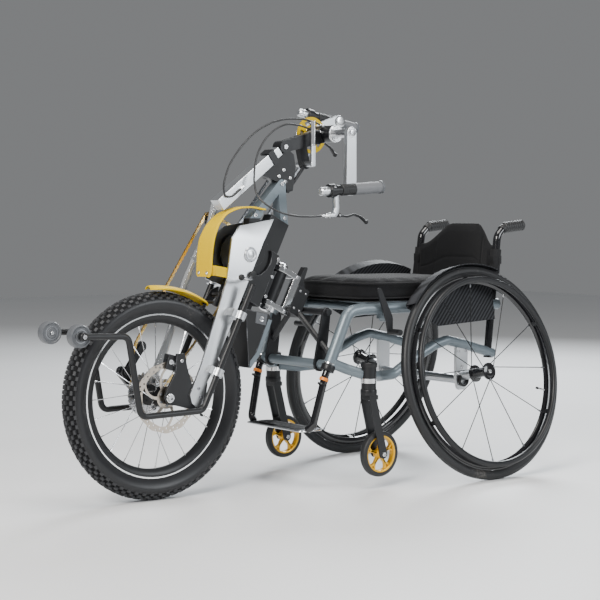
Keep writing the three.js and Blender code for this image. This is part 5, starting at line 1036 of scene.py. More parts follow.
# %% Swelling
def points_of(mesh):
    """The mesh's points as an array."""
    flat = np.empty(len(mesh.vertices) * 3)
    mesh.vertices.foreach_get("co", flat)
    return flat.reshape(-1, 3)


def swollen(piece, pressure, cap_mm, voxel_mm=6):
    """Remesh evenly, let cloth with pressure inside swell it for twenty frames, and cap how far points go."""
    scene = bpy.context.scene
    bpy.context.view_layer.objects.active = piece
    remesh = piece.modifiers.new("even_faces", "REMESH")
    remesh.mode, remesh.voxel_size = "VOXEL", voxel_mm / 1000
    bpy.ops.object.modifier_apply(modifier=remesh.name)
    before = points_of(piece.data)
    cloth = piece.modifiers.new("cloth", "CLOTH")
    cloth.settings.use_pressure = True
    cloth.settings.uniform_pressure_force = pressure
    cloth.settings.tension_stiffness = cloth.settings.compression_stiffness = 15
    cloth.settings.effector_weights.gravity = 0
    for number in range(1, 21):
        scene.frame_set(number)
    bpy.ops.object.modifier_apply(modifier=cloth.name)
    scene.frame_set(1)
    shift = points_of(piece.data) - before
    reach = np.linalg.norm(shift, axis=1, keepdims=True)
    after = before + shift * np.minimum(1, cap_mm / 1000 / np.maximum(reach, 1e-9))
    after[:, 2] = np.maximum(after[:, 2], before[:, 2].min())
    piece.data.vertices.foreach_set("co", after.ravel())
    piece.data.update()
    farthest = 1000 * float(np.linalg.norm(after - before, axis=1).max())
    print(piece.name, "swelled up to", round(farthest, 1), "mm")


# %% Cushion
cushion_mesh = mesh_of("seat_cushion_foam", [(lofted(CUSHION_LEVELS), fabric)])
cushion = on_stage("seat_cushion_foam", cushion_mesh, "chair")
swollen(cushion, 4.0, 7)
finer = cushion.modifiers.new("finer", "SUBSURF")
finer.levels = finer.render_levels = 1
bpy.context.view_layer.objects.active = cushion
bpy.ops.object.modifier_apply(modifier=finer.name)
cushion.data.shade_smooth()
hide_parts("seat_cushion")
piping = []
for height, inset in ((7, 3.2), (47, 4.6)):
    seam = np.insert(oval(CUSHION_HALF - inset, 160) + CUSHION_MIDDLE, 2, CUSHION_LOW + height, axis=1)
    piping.append(swept(seam, circle(2.1, 8), (0, 0, 1), closed=True))
make("cushion_piping", in_finish(webbing, piping), "chair", "black_fabric")

# %% [markdown]
# The sling is a strong cloth held flat between the seat rails; the backrest is an upholstered shell with
# a raised middle, hung between the canes on two sleeves. The sling is a sheet, the backrest a pad.

# %% Sling
BACK_HALF, BACK_LOW, BACK_TOP, BACK_DIP = 149, 500, 702, 62
CANE_FOOT, CANE_RISE = np.array(CANE[0], float), np.subtract(CANE[1], CANE[0])
u, v = np.meshgrid(np.linspace(-1010, -566, 60), np.linspace(-160, 160, 44), indexing="ij")
sling_top = np.stack([u, v, 493.4 - 1.2 * (1 - (v / 160) ** 2)], -1)


def shell(surface, thickness):
    """A grid surface with a wall: the far side is the surface less thickness times its unit normal."""
    normal = np.cross(np.gradient(surface, axis=0), np.gradient(surface, axis=1))
    far = surface - thickness * normal / np.linalg.norm(normal, axis=2, keepdims=True)
    return walled(surface, far)


def walled(near, far):
    """Two grid surfaces joined into one closed shape by a strip along each side."""
    edges = ((near[0], far[0]), (near[-1], far[-1]), (near[:, 0], far[:, 0]), (near[:, -1], far[:, -1]))
    return together(grid(near), grid(far[::-1]), *[grid(np.stack(pair)) for pair in edges])


sling = make("seat_sling_cloth", [(shell(sling_top, 1.8), webbing)], "chair", "black_fabric", "seat_sling")


# %% Backrest
def cane_share(z):
    """How far up the left cane's straight part a height is, as a share."""
    return (z - CANE_FOOT[2]) / CANE_RISE[2]


def cane_at(z):
    """The left cane's centre at a height."""
    return CANE_FOOT + CANE_RISE * cane_share(z)


def back_surface(y, share):
    """The backrest's middle surface, as x and z: its top dips by a smooth step and its hollow is a cosine."""
    step = np.clip((np.abs(y) - 48) / 96, 0, 1)
    top = BACK_TOP - BACK_DIP * step ** 2 * (3 - 2 * step)
    z = BACK_LOW + (top - BACK_LOW) * share
    x = CANE_FOOT[0] + CANE_RISE[0] * cane_share(z) + 4 - 34 * np.cos(np.pi * y / (2 * BACK_HALF))
    return x, z


back_y, back_share = np.meshgrid(np.linspace(-BACK_HALF, BACK_HALF, 90), np.linspace(0, 1, 60), indexing="ij")
middle_x, back_z = back_surface(back_y, back_share)
rim_y, rim_z = 1 - np.abs(back_y) / BACK_HALF, np.minimum(back_share, 1 - back_share)
puff = np.clip(rim_y / 0.12, 0, 1) ** 0.5 * np.clip(rim_z / 0.10, 0, 1) ** 0.5
quilt = 1 - 0.22 * np.exp(-((np.abs(back_y) - 96) / 3.0) ** 2)
quilt = quilt - 0.2 * np.exp(-((back_share - 0.52) / 0.016) ** 2)
half_thick = (1.4 + 8.4 * puff) * quilt
fronts, rears = [np.stack([middle_x + side * half_thick, back_y, back_z], -1) for side in (1, -1)]
backrest = make("backrest_upholstered", [(walled(fronts, rears), fabric)], "chair", "black_fabric",
                "backrest", sharp=60)
edge_share = np.concatenate([np.linspace(0, 1, 40), np.ones(80), np.linspace(1, 0, 40), np.zeros(80)])
edge_y = BACK_HALF * np.concatenate([np.full(40, -1), np.linspace(-1, 1, 80), np.full(40, 1),
                                     np.linspace(1, -1, 80)])
edge_x, edge_z = back_surface(edge_y, edge_share)
edge_path = np.stack([edge_x, edge_y, edge_z], 1)[np.arange(240) % 40 != 0]
binding = swept(edge_path, circle(2.3, 8), (1, 0, 0.1), closed=True)
sleeve = hoop([[11.6, 0], [14.6, 0], [15, 1], [15, 118], [14.6, 119], [11.6, 119]], cane_at(512),
              cane_at(632) - cane_at(512), 32)
# A strap's points round the cane, from the cane's centre
STRAP = [[0, -14.8, 0], [-15.6, -12, 0], [-15.6, 8, 0], [0, 16, 0], [15.4, 6, 0], [14, -14, 0]]
straps = [swept(cane_at(z) + STRAP, rounded_rectangle(1.1, 12, 0.8, 3), (0, 0, 1)) for z in (540, 600)]
sleeve_parts = in_finish(webbing, [sleeve, *straps])
make("backrest_trim", [(binding, webbing), *sleeve_parts, *mirrored(sleeve_parts)], "chair", "black_fabric")

# %% [markdown]
# The chains run over the wheels that the model gives. Between two wheels a chain follows their common
# tangent, and round a wheel its pitch circle. That line is divided into links of half an inch, and outer
# and inner links are stamped along it in turn. A link has few faces, as there are nearly two hundred.
# The run from the idler to the cage bends as the cage swings, so its links are a piece of their own.


# %% Chain lines and links
CRANK, MOTOR, IDLER = np.array([-549, 0, 944.0]), np.array([-282, 0, 620.0]), np.array([-205, 0, 712.0])
GUIDE, JOCKEY = np.array([5, 0, 385.0]), np.array([50, 0, 322.0])
SMALL_RADIUS, LARGE_RADIUS, IDLER_RADIUS, CAGE_RADIUS, COG_RADIUS = 30, 62, 16, 20, 40
UPPER_Y, LOWER_Y, HALF_INCH = -63, -55, 12.7


def over(centre, radius, sense=-1):
    """A wheel that a chain runs over, as (x, z, radius, sense), sense 1 for anticlockwise."""
    return centre[0], centre[2], radius, sense


def chain_line(wheels):
    """Points of a closed chain over its wheels.

    The tangent's heading is atan2(dz, dx) - asin((s2 r2 - s1 r1) / distance), and a point on a wheel at a
    heading h is (x + s r sin h, z - s r cos h).
    """
    headings = []
    for (x1, z1, r1, s1), (x2, z2, r2, s2) in zip(wheels, wheels[1:] + wheels[:1]):
        headings.append(math.atan2(z2 - z1, x2 - x1)
                        - math.asin((s2 * r2 - s1 * r1) / math.dist((x1, z1), (x2, z2))))
    points = []
    for k, (x, z, radius, sense) in enumerate(wheels):
        turn = sense * ((sense * (headings[k] - headings[k - 1])) % TURN)
        h = headings[k - 1] + turn * np.linspace(0, 1, max(3, int(abs(turn) * 12)))
        points.append(np.stack([x + sense * radius * np.sin(h), z - sense * radius * np.cos(h)], 1))
    return np.concatenate(points)


# %% Links
def link_plate(pitch, width, y, thick=0.8):
    """A figure-of-eight plate along x between two pins, as a flat piece at y."""
    a = np.linspace(-math.pi / 2, math.pi / 2, 5)
    end = np.stack([pitch / 2 + width * np.cos(a), width * np.sin(a)], 1)
    outline = np.concatenate([end, [[0, width * 0.62]], -end, [[0, -width * 0.62]]])
    low, high = [np.insert(outline, 1, y + side * thick / 2, axis=1) for side in (-1, 1)]
    return grid(np.stack([low, high]), around=True, capped=True)


def chain_links(wheels, y, run=(0, 0), within=False):
    """Outer and inner links in turn along a chain's line in a plane y, with a roller at each pin.

    A run goes from the last pin on one wheel to the last on another, and its links or the rest are kept.
    """
    line = chain_line(wheels)
    closed = np.concatenate([line, line[:1]])
    reach = np.concatenate([[0], np.cumsum(np.linalg.norm(np.diff(closed, axis=0), axis=1))])
    count = 2 * round(reach[-1] / HALF_INCH / 2)
    pins = np.stack([np.interp(np.arange(count) * reach[-1] / count, reach, closed[:, k]) for k in (0, 1)], 1)
    after = np.roll(pins, -1, 0)
    middle, along = (pins + after) / 2, after - pins
    long = np.linalg.norm(along, axis=1)
    dx, dz = (along / long[:, None]).T
    zero = np.zeros(count)
    axes = np.stack([np.stack([dx, zero, dz], 1), np.tile([0, 1.0, 0], (count, 1)),
                     np.stack([-dz, zero, dx], 1)], 1)
    places = np.insert(middle, 1, y, axis=1)
    last = [np.flatnonzero(np.hypot(*(pins - wheel[:2]).T) < wheel[2] + 1)[-1] for wheel in wheels]
    index = np.arange(count)
    kept = ((index >= last[run[0]]) & (index < last[run[1]])) == within
    even, odd = kept & (index % 2 == 0), kept & (index % 2 == 1)
    outer = together(*[link_plate(long.mean(), 3.8, side * 2.7) for side in (1, -1)])
    inner = together(*[link_plate(long.mean(), 3.9, side * 1.75) for side in (1, -1)])
    barrel = lathe([[0, -1.4], [3.3, -1.4], [3.3, 1.4], [0, 1.4]], count=8)
    roller = together(barrel, rod([0, -3.4, 0], [0, 3.4, 0], 1.6, 0.2, 6))
    print("links", int(kept.sum()), "of", count, "pitch", round(float(long.mean()), 2))
    return (stamped(outer, places[even], axes[even]), stamped(inner, places[odd], axes[odd]),
            stamped(roller, np.insert(pins, 1, y, axis=1)[kept], axes[kept]))


# %% Chains
UPPER_WHEELS = [over(CRANK, SMALL_RADIUS), over(MOTOR, SMALL_RADIUS)]
LOWER_WHEELS = [over(MOTOR, LARGE_RADIUS), over(IDLER, IDLER_RADIUS), over(GUIDE, CAGE_RADIUS),
                over(JOCKEY, CAGE_RADIUS, 1), over(FRONT_HUB, COG_RADIUS)]
SLACK_RUN = (1, 3)
CHAINS = (("upper_chain", UPPER_WHEELS, UPPER_Y, (0, 0), dark_steel, steel),
          ("lower_chain", LOWER_WHEELS, LOWER_Y, SLACK_RUN, gold, dark_steel))
for name, wheels, y, run, plates, rollers in CHAINS:
    outer, inner, pins = chain_links(wheels, y, run)
    make(name + "_links", [(outer, plates), (inner, plates), (pins, rollers)], "front_unit", "chain_steel",
         name)
outer, inner, pins = chain_links(LOWER_WHEELS, LOWER_Y, SLACK_RUN, True)
slack = make("lower_chain_slack", [(outer, gold), (inner, gold), (pins, dark_steel)], None, "chain_steel")
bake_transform(slack)


# %% Teeth and windows
BORE, ARM_WINDOWS = 12.4, 5
# Each cog: its plane and the radius of its chain line
COGS = ((-35.2, 58), (-38.4, 55.5), (-41.6, 52.5), (-44.8, 49.5), (-48, 46.5), (LOWER_Y, COG_RADIUS),
        (-58, 34), (-60.4, 28))


def toothed(radius, teeth, low, high, holes=(), tip=2.6, root=3.6, phase=0.0):
    """A flat sprocket whose edge swings, once a tooth, between radius - root and radius + tip."""
    a = np.linspace(0, TURN, teeth * 8, endpoint=False)
    wave = np.clip(0.5 + 0.85 * np.cos(teeth * (a - phase)), 0, 1)
    r = radius - root + (root + tip) * wave
    return flat_piece(np.stack([r * np.cos(a), r * np.sin(a)], 1), holes, low, high)


def windows(count, inner, outer, half_angle, steps=9):
    """Outlines of openings between spokes: an arc out at one radius and back at another, round the middle."""
    a = np.linspace(-half_angle, half_angle, steps)
    arc = np.stack([np.cos(a), np.sin(a)], 1)
    return [turned_flat(np.concatenate([outer * arc, inner * arc[::-1]]), TURN * k / count)
            for k in range(count)]


def small_sprocket(bore):
    """The upper chain's fifteen-tooth sprocket, the same on the crank axle and on the motor's shaft."""
    return toothed(SMALL_RADIUS, 15, UPPER_Y - 1.5, UPPER_Y + 1.5, [circle(bore, 24)])


# %% Crank axle, motor and idler
disc = flat_piece(circle(50, 96), [circle(BORE, 24), *windows(ARM_WINDOWS, 27, 41, 0.36)], -57, -54)
disc_rim = hoop([[50, -57.2], [50, -53.8], [47.4, -53.8], [47.4, -57.2]], count=96)
ring_bolts = bolts(round_places(ARM_WINDOWS, 21, -53.8), 3.4, 2.4)
axle_line = lathe([[0, -119], [9, -119], [12, -117.5], [12, 117.5], [9, 119], [0, 119]], count=36)
spider = hoop([[12, -66], [17, -66], [18, -65], [18, -54.6], [17, -54], [12, -54]], count=36)
collar = hoop([[12, 49.5], [20, 49.5], [21, 51], [20, 53], [12, 53]], count=36)
axle_parts = [(small_sprocket(BORE), dark_steel), (disc, yellow), (disc_rim, yellow),
              (ring_bolts, silver_edge), (axle_line, steel), (spider, black), (collar, silver_edge)]
make("crank_axle_toothed", placed(axle_parts, CRANK), "crank", "steel", "crank_axle")

large = toothed(LARGE_RADIUS, 31, -56.5, -53.5, [circle(10.4, 24), *windows(6, 26, 50, 0.38)])
shaft = lathe([[0, -66.5], [9, -66.5], [10, -65.6], [10, -44.2], [0, -44.2]], count=32)
spacer = hoop([[10, -64], [18, -64], [18, -51.2], [10, -51.2]], count=32)
motor_parts = [(large, dark_steel), (small_sprocket(10.4), dark_steel), (shaft, steel), (spacer, black)]
make("motor_sprocket_toothed", placed(motor_parts, MOTOR), "motor_sprocket", "steel", "motor_sprocket")

idler_parts = [(toothed(IDLER_RADIUS, 8, -56.5, -53.5, [circle(5.5, 16)]), black_plastic),
               (hoop([[5.5, -58.5], [9, -58.5], [9, -53.5], [5.5, -53.5]], count=24), steel)]
make("idler_wheel_toothed", placed(idler_parts, IDLER), "idler_wheel", "black_plastic", "idler_wheel")

# %% Cassette
cogs = []
for k, (y, r) in enumerate(COGS):
    lightening = drilled(6, r * 0.7, r * 0.13, 14) if r > COG_RADIUS else ()
    teeth = max(10, round(TURN * (r - 2) / HALF_INCH))
    cogs.append(toothed(r - 2, teeth, y - 0.9, y + 0.9, lightening, phase=k * 0.4))
core = hoop([[8.4, -34.2], [24, -34.2], [24, -51], [18, -60], [8.4, -61.3]], count=36)
make("cassette_cogs", placed([*in_finish(steel, cogs), (core, dark_steel)], FRONT_HUB), "cassette", "steel",
     "cassette")

# %% [markdown]
# The yellow guard in front of the motor is a pressed sheet that bends forward over the chain, and the
# mudguard a short crowned arch over the tyre. Both are surfaces of two parameters with a wall.

# %% Chain guard
# Each row of the guard: x and z of its line, then the y of its right and left edges
GUARD_ROWS = np.array([[-152, 562, -34, 26], [-154, 570, -38, 30], [-156, 620, -38, 30], [-162, 660, -38, 30],
                       [-176, 696, -26, 30], [-200, 724, -12, 29], [-240, 739, -2, 27], [-262, 741, 8, 26],
                       [-290, 742, 16, 25], [-330, 736, 16.5, 25]], float)
reach = np.concatenate([[0], np.cumsum(np.linalg.norm(np.diff(GUARD_ROWS[:, :2], axis=0), axis=1))])
at = np.linspace(0, reach[-1], 90)
rows = np.stack([np.interp(at, reach, GUARD_ROWS[:, k]) for k in range(4)], 1)
for _ in range(14):
    rows[1:-1] = (rows[:-2] + 2 * rows[1:-1] + rows[2:]) / 4
foot = np.clip(at / 9, 0, 1)
narrow = 6 * (1 - np.sqrt(1 - (1 - foot) ** 2))
right_edge, left_edge = rows[:, 2] + narrow, rows[:, 3] - narrow
across_share = np.linspace(0, 1, 26)[None, :]
guard_y = right_edge[:, None] + (left_edge - right_edge)[:, None] * across_share
slope = np.gradient(rows[:, :2], axis=0)
outward = np.stack([slope[:, 1], -slope[:, 0]], 1) / np.linalg.norm(slope, axis=1, keepdims=True)
outward *= np.sign(outward[:1, :1])
rolled = -2.2 * np.clip((np.abs(across_share - 0.5) - 0.42) / 0.08, 0, 1) ** 2
guard_xz = rows[:, None, :2] + outward[:, None] * (1.2 + rolled)[..., None]
guard_face = np.stack([guard_xz[..., 0], guard_y, guard_xz[..., 1]], -1)
guard_leaf = flat_piece([[-157.5, 592], [-157.5, 566], [-206, 558], [-206, 584]], [], 41, 43.5)
guard_tab = swept([[-158, 22, 579], [-158, 43, 579]], rounded_rectangle(1.6, 13, 1, 3), (0, 0, 1))
guard_screws = bolts([[-150.6, y, 572] for y in (14, -22)], 5, 2.6, axis=(1, 0, -0.05))
make("chain_guard_pressed", [*in_finish(yellow, [shell(guard_face, 2.4), guard_leaf, guard_tab]),
                             (guard_screws, steel)], "front_unit", "yellow_paint", "chain_guard")

# %% Mudguard
ARCH_MIDDLE_DEG, ARCH_RADIUS, ARCH_HALF_WIDTH, ARCH_CROWN = 105, 277.2, 31, 8
angles = np.radians(np.linspace(86, 124, 60))[:, None]
cross_share = np.linspace(-1, 1, 30)[None, :]
past_end = (np.abs(np.degrees(angles) - ARCH_MIDDLE_DEG) - 15) / 4.2
end_round = np.sqrt(np.clip(1 - np.clip(past_end, 0, 1) ** 2, 0.08, 1))
arch_y = ARCH_HALF_WIDTH * cross_share * end_round
arch_r = ARCH_RADIUS - ARCH_CROWN * np.abs(cross_share) ** 3 + 0 * angles
arch = np.stack([arch_r * np.cos(angles), arch_y, FRONT_HUB[2] + arch_r * np.sin(angles)], -1)
BRACKET = [[-200, 536], [-176, 528], [-150, 492], [-162, 486], [-196, 512]]
bracket_plates = [flat_piece(BRACKET, [circle(5, 14, (-178, 515))], 36, 45.2),
                  flat_piece(BRACKET, [], -8, -3)]
bracket_bars = [rod([x, -8, z], [x, 45, z], radius, 0.4, 20)
                for x, z, radius in ((-180, 516, 6), (-160, 497, 5))]
bracket_parts = [*bracket_plates, *bracket_bars]
make("mudguard_arch", [(shell(arch, 2.3), yellow), *in_finish(black, bracket_parts)], "front_unit",
     "yellow_plastic", "mudguard")

# %% [markdown]
# The stand's legs are bent tube with a roller at each front end; cables are ribbed housings with metal
# ferrules, their ribs made by a radius that rises and falls along the path. The brake cable bends
# between the unit and the cranks, which carry its lever round.

# %% Stand
STAND_PATH = [[-241, 90, 542], [-84.9, 90, 229], [100, 90, 226], [136, 90, 426], [262, 90, 430]]
STAND_TOP_AXIS, STAND_TUBE, ROLLER_AXLE = (-0.446, 0, 0.895), 8, np.array([262, 0, 430.0])
leg = swept(rounded(STAND_PATH, 24, 10), circle(STAND_TUBE, 24))
leg_pin = rod(ROLLER_AXLE + [0, 90, 0], ROLLER_AXLE + [0, 54, 0], 5, 0.6, 20)
leg_end = rod(ROLLER_AXLE + [0, 98, 0], ROLLER_AXLE + [0, 82.4, 0], 10.5, 1.4, 28)
leg_cap = cap(STAND_PATH[0], STAND_TOP_AXIS, STAND_TUBE)
leg_bolt = bolts([ROLLER_AXLE + [0, 97.8, 0]], 5.6, 2.4)
leg_parts = [(leg, black), (leg_pin, steel), (leg_end, black), (leg_cap, black_plastic), (leg_bolt, steel)]
both_sides("stand_leg_bent", leg_parts, "stand_leg_{side}", "black_paint", "stand_leg_{side}")
roller = hoop([[5.5, 57.5], [12, 57], [13, 58.6], [22, 59], [24, 57.4], [26.6, 57.6], [28, 60], [28, 79],
               [26.6, 81.2], [24, 81.4], [22, 79.6], [13, 80], [12, 81.6], [5.5, 81.2]], ROLLER_AXLE)
roller_rings = [hoop([[14.5, a], [17, a], [17, b], [14.5, b]], ROLLER_AXLE)
                for a, b in ((58.2, 60), (79, 80.8))]
both_sides("stand_roller_turned", [(roller, grey_plastic), *in_finish(dark_steel, roller_rings)],
           "stand_roller_{side}", "black_rubber", "stand_roller_{side}")


# %% Cables
CABLE_RADIUS, RIB_PITCH, RIB_STEPS = 2.5, 4.0, 4


def ribbed(corners, radius, depth=0.05):
    """A ribbed tube along a smooth path, and the path.

    Its radius is radius * (1 + depth * cos(a)), where a goes once round for each pitch of the ribs.
    """
    rough_length = np.linalg.norm(np.diff(np.array(corners), axis=0), axis=1).sum()
    path = smooth_path(corners, int(rough_length / RIB_PITCH * RIB_STEPS))
    wave = 1 + depth * np.cos(np.arange(len(path)) * TURN / RIB_STEPS)
    return swept(path, circle(radius, 10), (0.05, 1, 0.02), scale=wave), path


BRAKE_ROUTE = [[-441.8, 137, 722.3], [-425, 137, 720.8], [-392, 136, 719], [-352, 130, 719.5],
               [-316, 113, 727], [-290, 86, 745], [-276, 58, 772], [-278, 42, 806], [-285, 36, 850],
               [-296, 34, 885], [-320, 34, 922], [-355, 32, 950], [-400, 28, 966], [-450, 26, 962],
               [-490, 26, 951], [-524.6, 26, 947]]
CONTROL_ROUTE = [[-262, 20.9, 797], [-222, 20.9, 768], [-199, 22, 770], [-194, 23, 800], [-210, 24, 850],
                 [-248, 23, 898], [-298, 19, 940], [-352, 15, 966], [-400, 14, 978], [-460, 14, 982],
                 [-508, 14, 974], [-532.8, 14, 963.4]]
for name, route in (("brake_cable", BRAKE_ROUTE), ("control_cable", CONTROL_ROUTE)):
    tube, path = ribbed(route, CABLE_RADIUS)
    ends = [rod(start, start + (further - start) * 1.6, 3.3, 0.4, 14)
            for start, further in ((path[0], path[8]), (path[-1], path[-9]))]
    bends = name == "brake_cable"
    cable = make(name + "_housing", [(tube, housing), *in_finish(silver_edge, ends)],
                 None if bends else "front_unit", "black_plastic", name)
    if bends:
        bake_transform(cable)

# %% [markdown]
# Each handle is a bar square to its spindle: rubber where the hand's heel rests, a knurled grey grip that
# meets it in a pointed overlap, and a clamp that carries the brake lever. It is worked out in its own
# frame, with Y along the bar, and laid on the end of its crank arm.

# %% Bar and grip
BAR_LOW, BAR_HIGH, GRIP_EDGE, BAR_COLUMNS, BAR_ROWS = -56, 80, -9, 64, 150
bar_rows = np.linspace(BAR_LOW, BAR_HIGH, BAR_ROWS)
a_bar, y_bar = np.meshgrid(np.linspace(0, TURN, BAR_COLUMNS, endpoint=False), bar_rows)
overlap = 10 * np.abs(np.mod(a_bar / math.pi, 1) * 2 - 1) - 14
knurl = 0.35 * np.cos(a_bar * 16 + y_bar * 0.9) * np.cos(a_bar * 16 - y_bar * 0.9)
ribs = 0.3 * np.cos(y_bar * TURN / 6)
radius_bar = np.where(y_bar < overlap, 15.0 + ribs, 15.5 + knurl)
radius_bar = radius_bar - 1.2 * np.clip(1 - (y_bar - BAR_LOW) / 2, 0, 1)
bar_points = np.stack([radius_bar * np.cos(a_bar), y_bar, radius_bar * np.sin(a_bar)], -1)
bar_ends = [grid(np.stack([bar_points[k], bar_points[k] * [0.4, 1, 0.4]]), around=True) for k in (0, -1)]
edge_row = int(np.argmin(np.abs(bar_rows - GRIP_EDGE)))
rubber_part = grid(bar_points[:edge_row + 1], around=True)
grip_part = grid(bar_points[edge_row:], around=True)

# %% Clamp, spindle and horn
neck = lathe([[4, -58], [13.4, -58], [13.4, -77], [4, -77]], count=40)
end_flange = lathe([[0, 80], [16, 80], [18, 81], [18, 86.6], [17, 88], [12, 88], [11.4, 86.4], [6, 86.4],
                    [5.6, 87.6], [0, 87.8]])
clamp = lathe([[4, -97], [17, -97], [18, -96], [18, -77], [17, -76], [4, -76]])
end_cap = lathe([[0, -126], [8, -126], [11.4, -123], [11.4, -113], [10.6, -112.4], [10.6, -111.6],
                 [11.4, -111], [11.4, -97], [0, -97]], count=40)
clamp_out = np.array([math.cos(0.6), 0, math.sin(0.6)])
clamp_bolt = bolts([18 * clamp_out + [0, -86.5, 0]], 3.6, 3, axis=clamp_out)
spindle = rod([-34, 0, 0], [0, 0, 0], 12, 0.5, 32)
spindle_head = lathe([[0, -40], [8, -40], [14.4, -39.6], [16, -38.6], [16, -35], [15, -34.5], [0, -34.5]],
                     (0, 0, 0), (1, 0, 0), 40)
horn_line = rounded([[0, -74, -12], [0, -74, -46], [0, -79, -61], [0, -90, -64]], 16)
horn = swept(horn_line, rounded_rectangle(6.6, 8, 3), (0, 1, 0.3))
nose = swept([[0, -84, -64], [0, -100, -64]], circle(7.2, 20), (1, 0, 0))
adjuster = lathe([[0, -112], [4.4, -112], [5.6, -111], [5.6, -105], [4.8, -104.4], [4.8, -103], [6.2, -102.4],
                  [6.2, -98], [0, -98]], (0, 0, -64), count=24)
HANDLE_PARTS = [(rubber_part, black_grip), (grip_part, grey_grip), *in_finish(black_grip, bar_ends),
                (neck, black), (end_flange, grey_plastic), (clamp, black), (end_cap, silver),
                (clamp_bolt, steel), (spindle, steel), (spindle_head, silver_edge), (horn, silver),
                (nose, silver), (adjuster, silver_edge)]

# %% Brake lever
LEVER_PIVOT = np.array([0, -66, -66.0])
blade_line = rounded([[0, -68, -66], [0, -40, -71], [0, -14, -67], [0, 8, -75], [0, 28, -91]], 18, 8)
blade_width = 1 + 0.12 * np.linspace(0, 1, len(blade_line))
blade = swept(blade_line, rounded_rectangle(5.2, 2.7, 2.2, 4), (0, 0.2, 1), scale=blade_width)
ball = lathe([[0, -5.6], [3.6, -4.8], [5.6, -2.4], [6.2, 0], [5.6, 2.4], [3.6, 4.8], [0, 5.6]], (0, 28, -90),
             (0, 0.78, -0.62), 20)
barrel = rod(LEVER_PIVOT - [6, 0, 0], LEVER_PIVOT + [6, 0, 0], 5.4, 0.8, 24)
pivot_pin = rod(LEVER_PIVOT - [7, 0, 0], LEVER_PIVOT + [7, 0, 0], 2.6, 0.4, 16)
LEVER_PARTS = [(blade, black), (ball, black), (barrel, black), (pivot_pin, steel)]

# %% Both handles
CRANK_LENGTH, BAR_Y = 150, 137
# On each side: the sign across, then the tilt of the bar and the heading of its crank arm in degrees
for side, flip, tilt_deg, arm_deg in (("left", 1, 4.3, -90), ("right", -1, -10, -198)):
    arm_end = CRANK + CRANK_LENGTH * about_y(arm_deg)[0] + [0, flip * BAR_Y, 0]
    c, s = math.cos(math.radians(tilt_deg)), math.sin(math.radians(tilt_deg))
    handle_axes = np.array([[0, flip, 0], [-c, 0, s], [s, 0, c]])
    make(f"handle_{side}_made", placed(HANDLE_PARTS, arm_end, handle_axes), "handle_" + side, "grip",
         "handle_" + side)
    make(f"brake_lever_{side}_made", placed(LEVER_PARTS, arm_end, handle_axes), "brake_lever_" + side,
         "black_paint", "brake_lever_" + side)

# %% [markdown]
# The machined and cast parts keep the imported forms: fork plates, column, boom, strut, carrier, arms, dock,
# motor, battery. Each is a copy with merged faces and broken edges, bright where metal would be bared.

# %% Machined and cast parts
# Each row: the solids, the finish of their faces and that of their edges, and the bevel in millimetres
DRESSED = (
    (("fork_plate_left", "fork_side_right", "boom_outer", "boom_inner"), silver, silver_edge, 1.2),
    (("crank_arm_left", "crank_arm_right"), silver, silver_edge, 1.2),
    (("axle_assembly", "release_lever"), silver, silver_edge, 0.7),
    (("dock_yoke",), polished, silver_edge, 1.2),
    (("boom_strut",), slate, slate_edge, 1.4),
    (("steering_column", "dock_frame", "crank_carrier", "motor_housing"), black, black_edge, 1.3),
    (("dropout_left", "derailleur_body", "derailleur_cage", "brake_caliper"), black, black_edge, 0.7),
    (("caster_fork_left", "caster_fork_right"), black, black_edge, 0.7),
    (("wheel_lock_left", "wheel_lock_right"), black, black_edge, 0.7),
    (("battery",), black_plastic, black_edge, 2.2),
    (("dock_lever",), black_plastic, black_edge, 1.2),
    (("side_guard_left", "side_guard_right"), carbon, carbon, 0.5))
for names, surface, edge, bevel_mm in DRESSED:
    for name in names:
        dress(name, surface, edge, bevel_mm)
print("dressed copies of", sum(len(row[0]) for row in DRESSED), "solids")

# %% [markdown]
# Small fasteners and trim finish the drive unit: cap screws on the plate and the gusset, the round cap over
# the motor's bolt, the bearing's ring, axle nuts, the caliper's bolts and the ball-ended clamp lever. Their
# heads come from one bolt function, and each set is one mesh that rides on its body.

# %% Fasteners of the drive unit
CAP_PLACE, CAP_AXIS, NUT_Y, WASHER_YS = (-262, 49.6, 620), (0, 1, 0.08), 69.7, (69.6, 71.2)


def on_both_ends(shape, centre, reach):
    """A shape standing out from both ends of an axle along Y, each at a reach from its centre."""
    return [moved(shape, square_axes((0, side, 0)), centre + [0, side * reach, 0]) for side in (1, -1)]


plate_bolts = bolts([[-88, 76.4, 262], [-82, 75.2, 284]], 4.2, 2.4, axis=(0, 1, -0.1))
ring_cap = lathe([[0, 4.6], [9, 4.6], [11, 3.6], [13, 3.8], [18.6, 3.8], [20, 2.6], [20, -0.5], [0, -0.5]],
                 CAP_PLACE, CAP_AXIS)
ring_groove = hoop([[13.2, 3.9], [14.4, 5.2], [17.4, 5.2], [18.4, 3.9]], CAP_PLACE, CAP_AXIS)
carrier_bolts = bolts([[x, 14, z] for x, z in ((-398, 843), (-420, 822), (-402, 812), (-382, 826))], 4.4, 3)
knuckle_bolt = bolts([[-402, 17.6, 904.5]], 6.5, 3)
bearing = hoop([[13, 46.5], [23, 46.5], [24, 47.4], [24, 49.2], [23, 50], [18, 50], [17, 48.8], [13, 48.8]],
               CRANK)
column_bolts = bolts([[-358, 43.6, 606], [-317, 43.6, 509], [-338, 43.6, 560]], 4.6, 2.6)
strut_bolts = bolts([[-304, 15, 722], [-401, 15, 714], [-392, 15, 806]], 6, 3.4, hexagonal=True)
caliper_place = FRONT_HUB + 88 * about_y(105.6)[0] + [0, 62.2, 0]
caliper_bolts = bolts([caliper_place + [dx, 0, dz] for dx, dz in ((0, 0), (-17, -5), (17, 5))], 6.4, 2.8)
caliper_ring = hoop([[8.6, 0], [10.6, 0], [10.6, 1.6], [8.6, 1.6]], caliper_place, count=36)
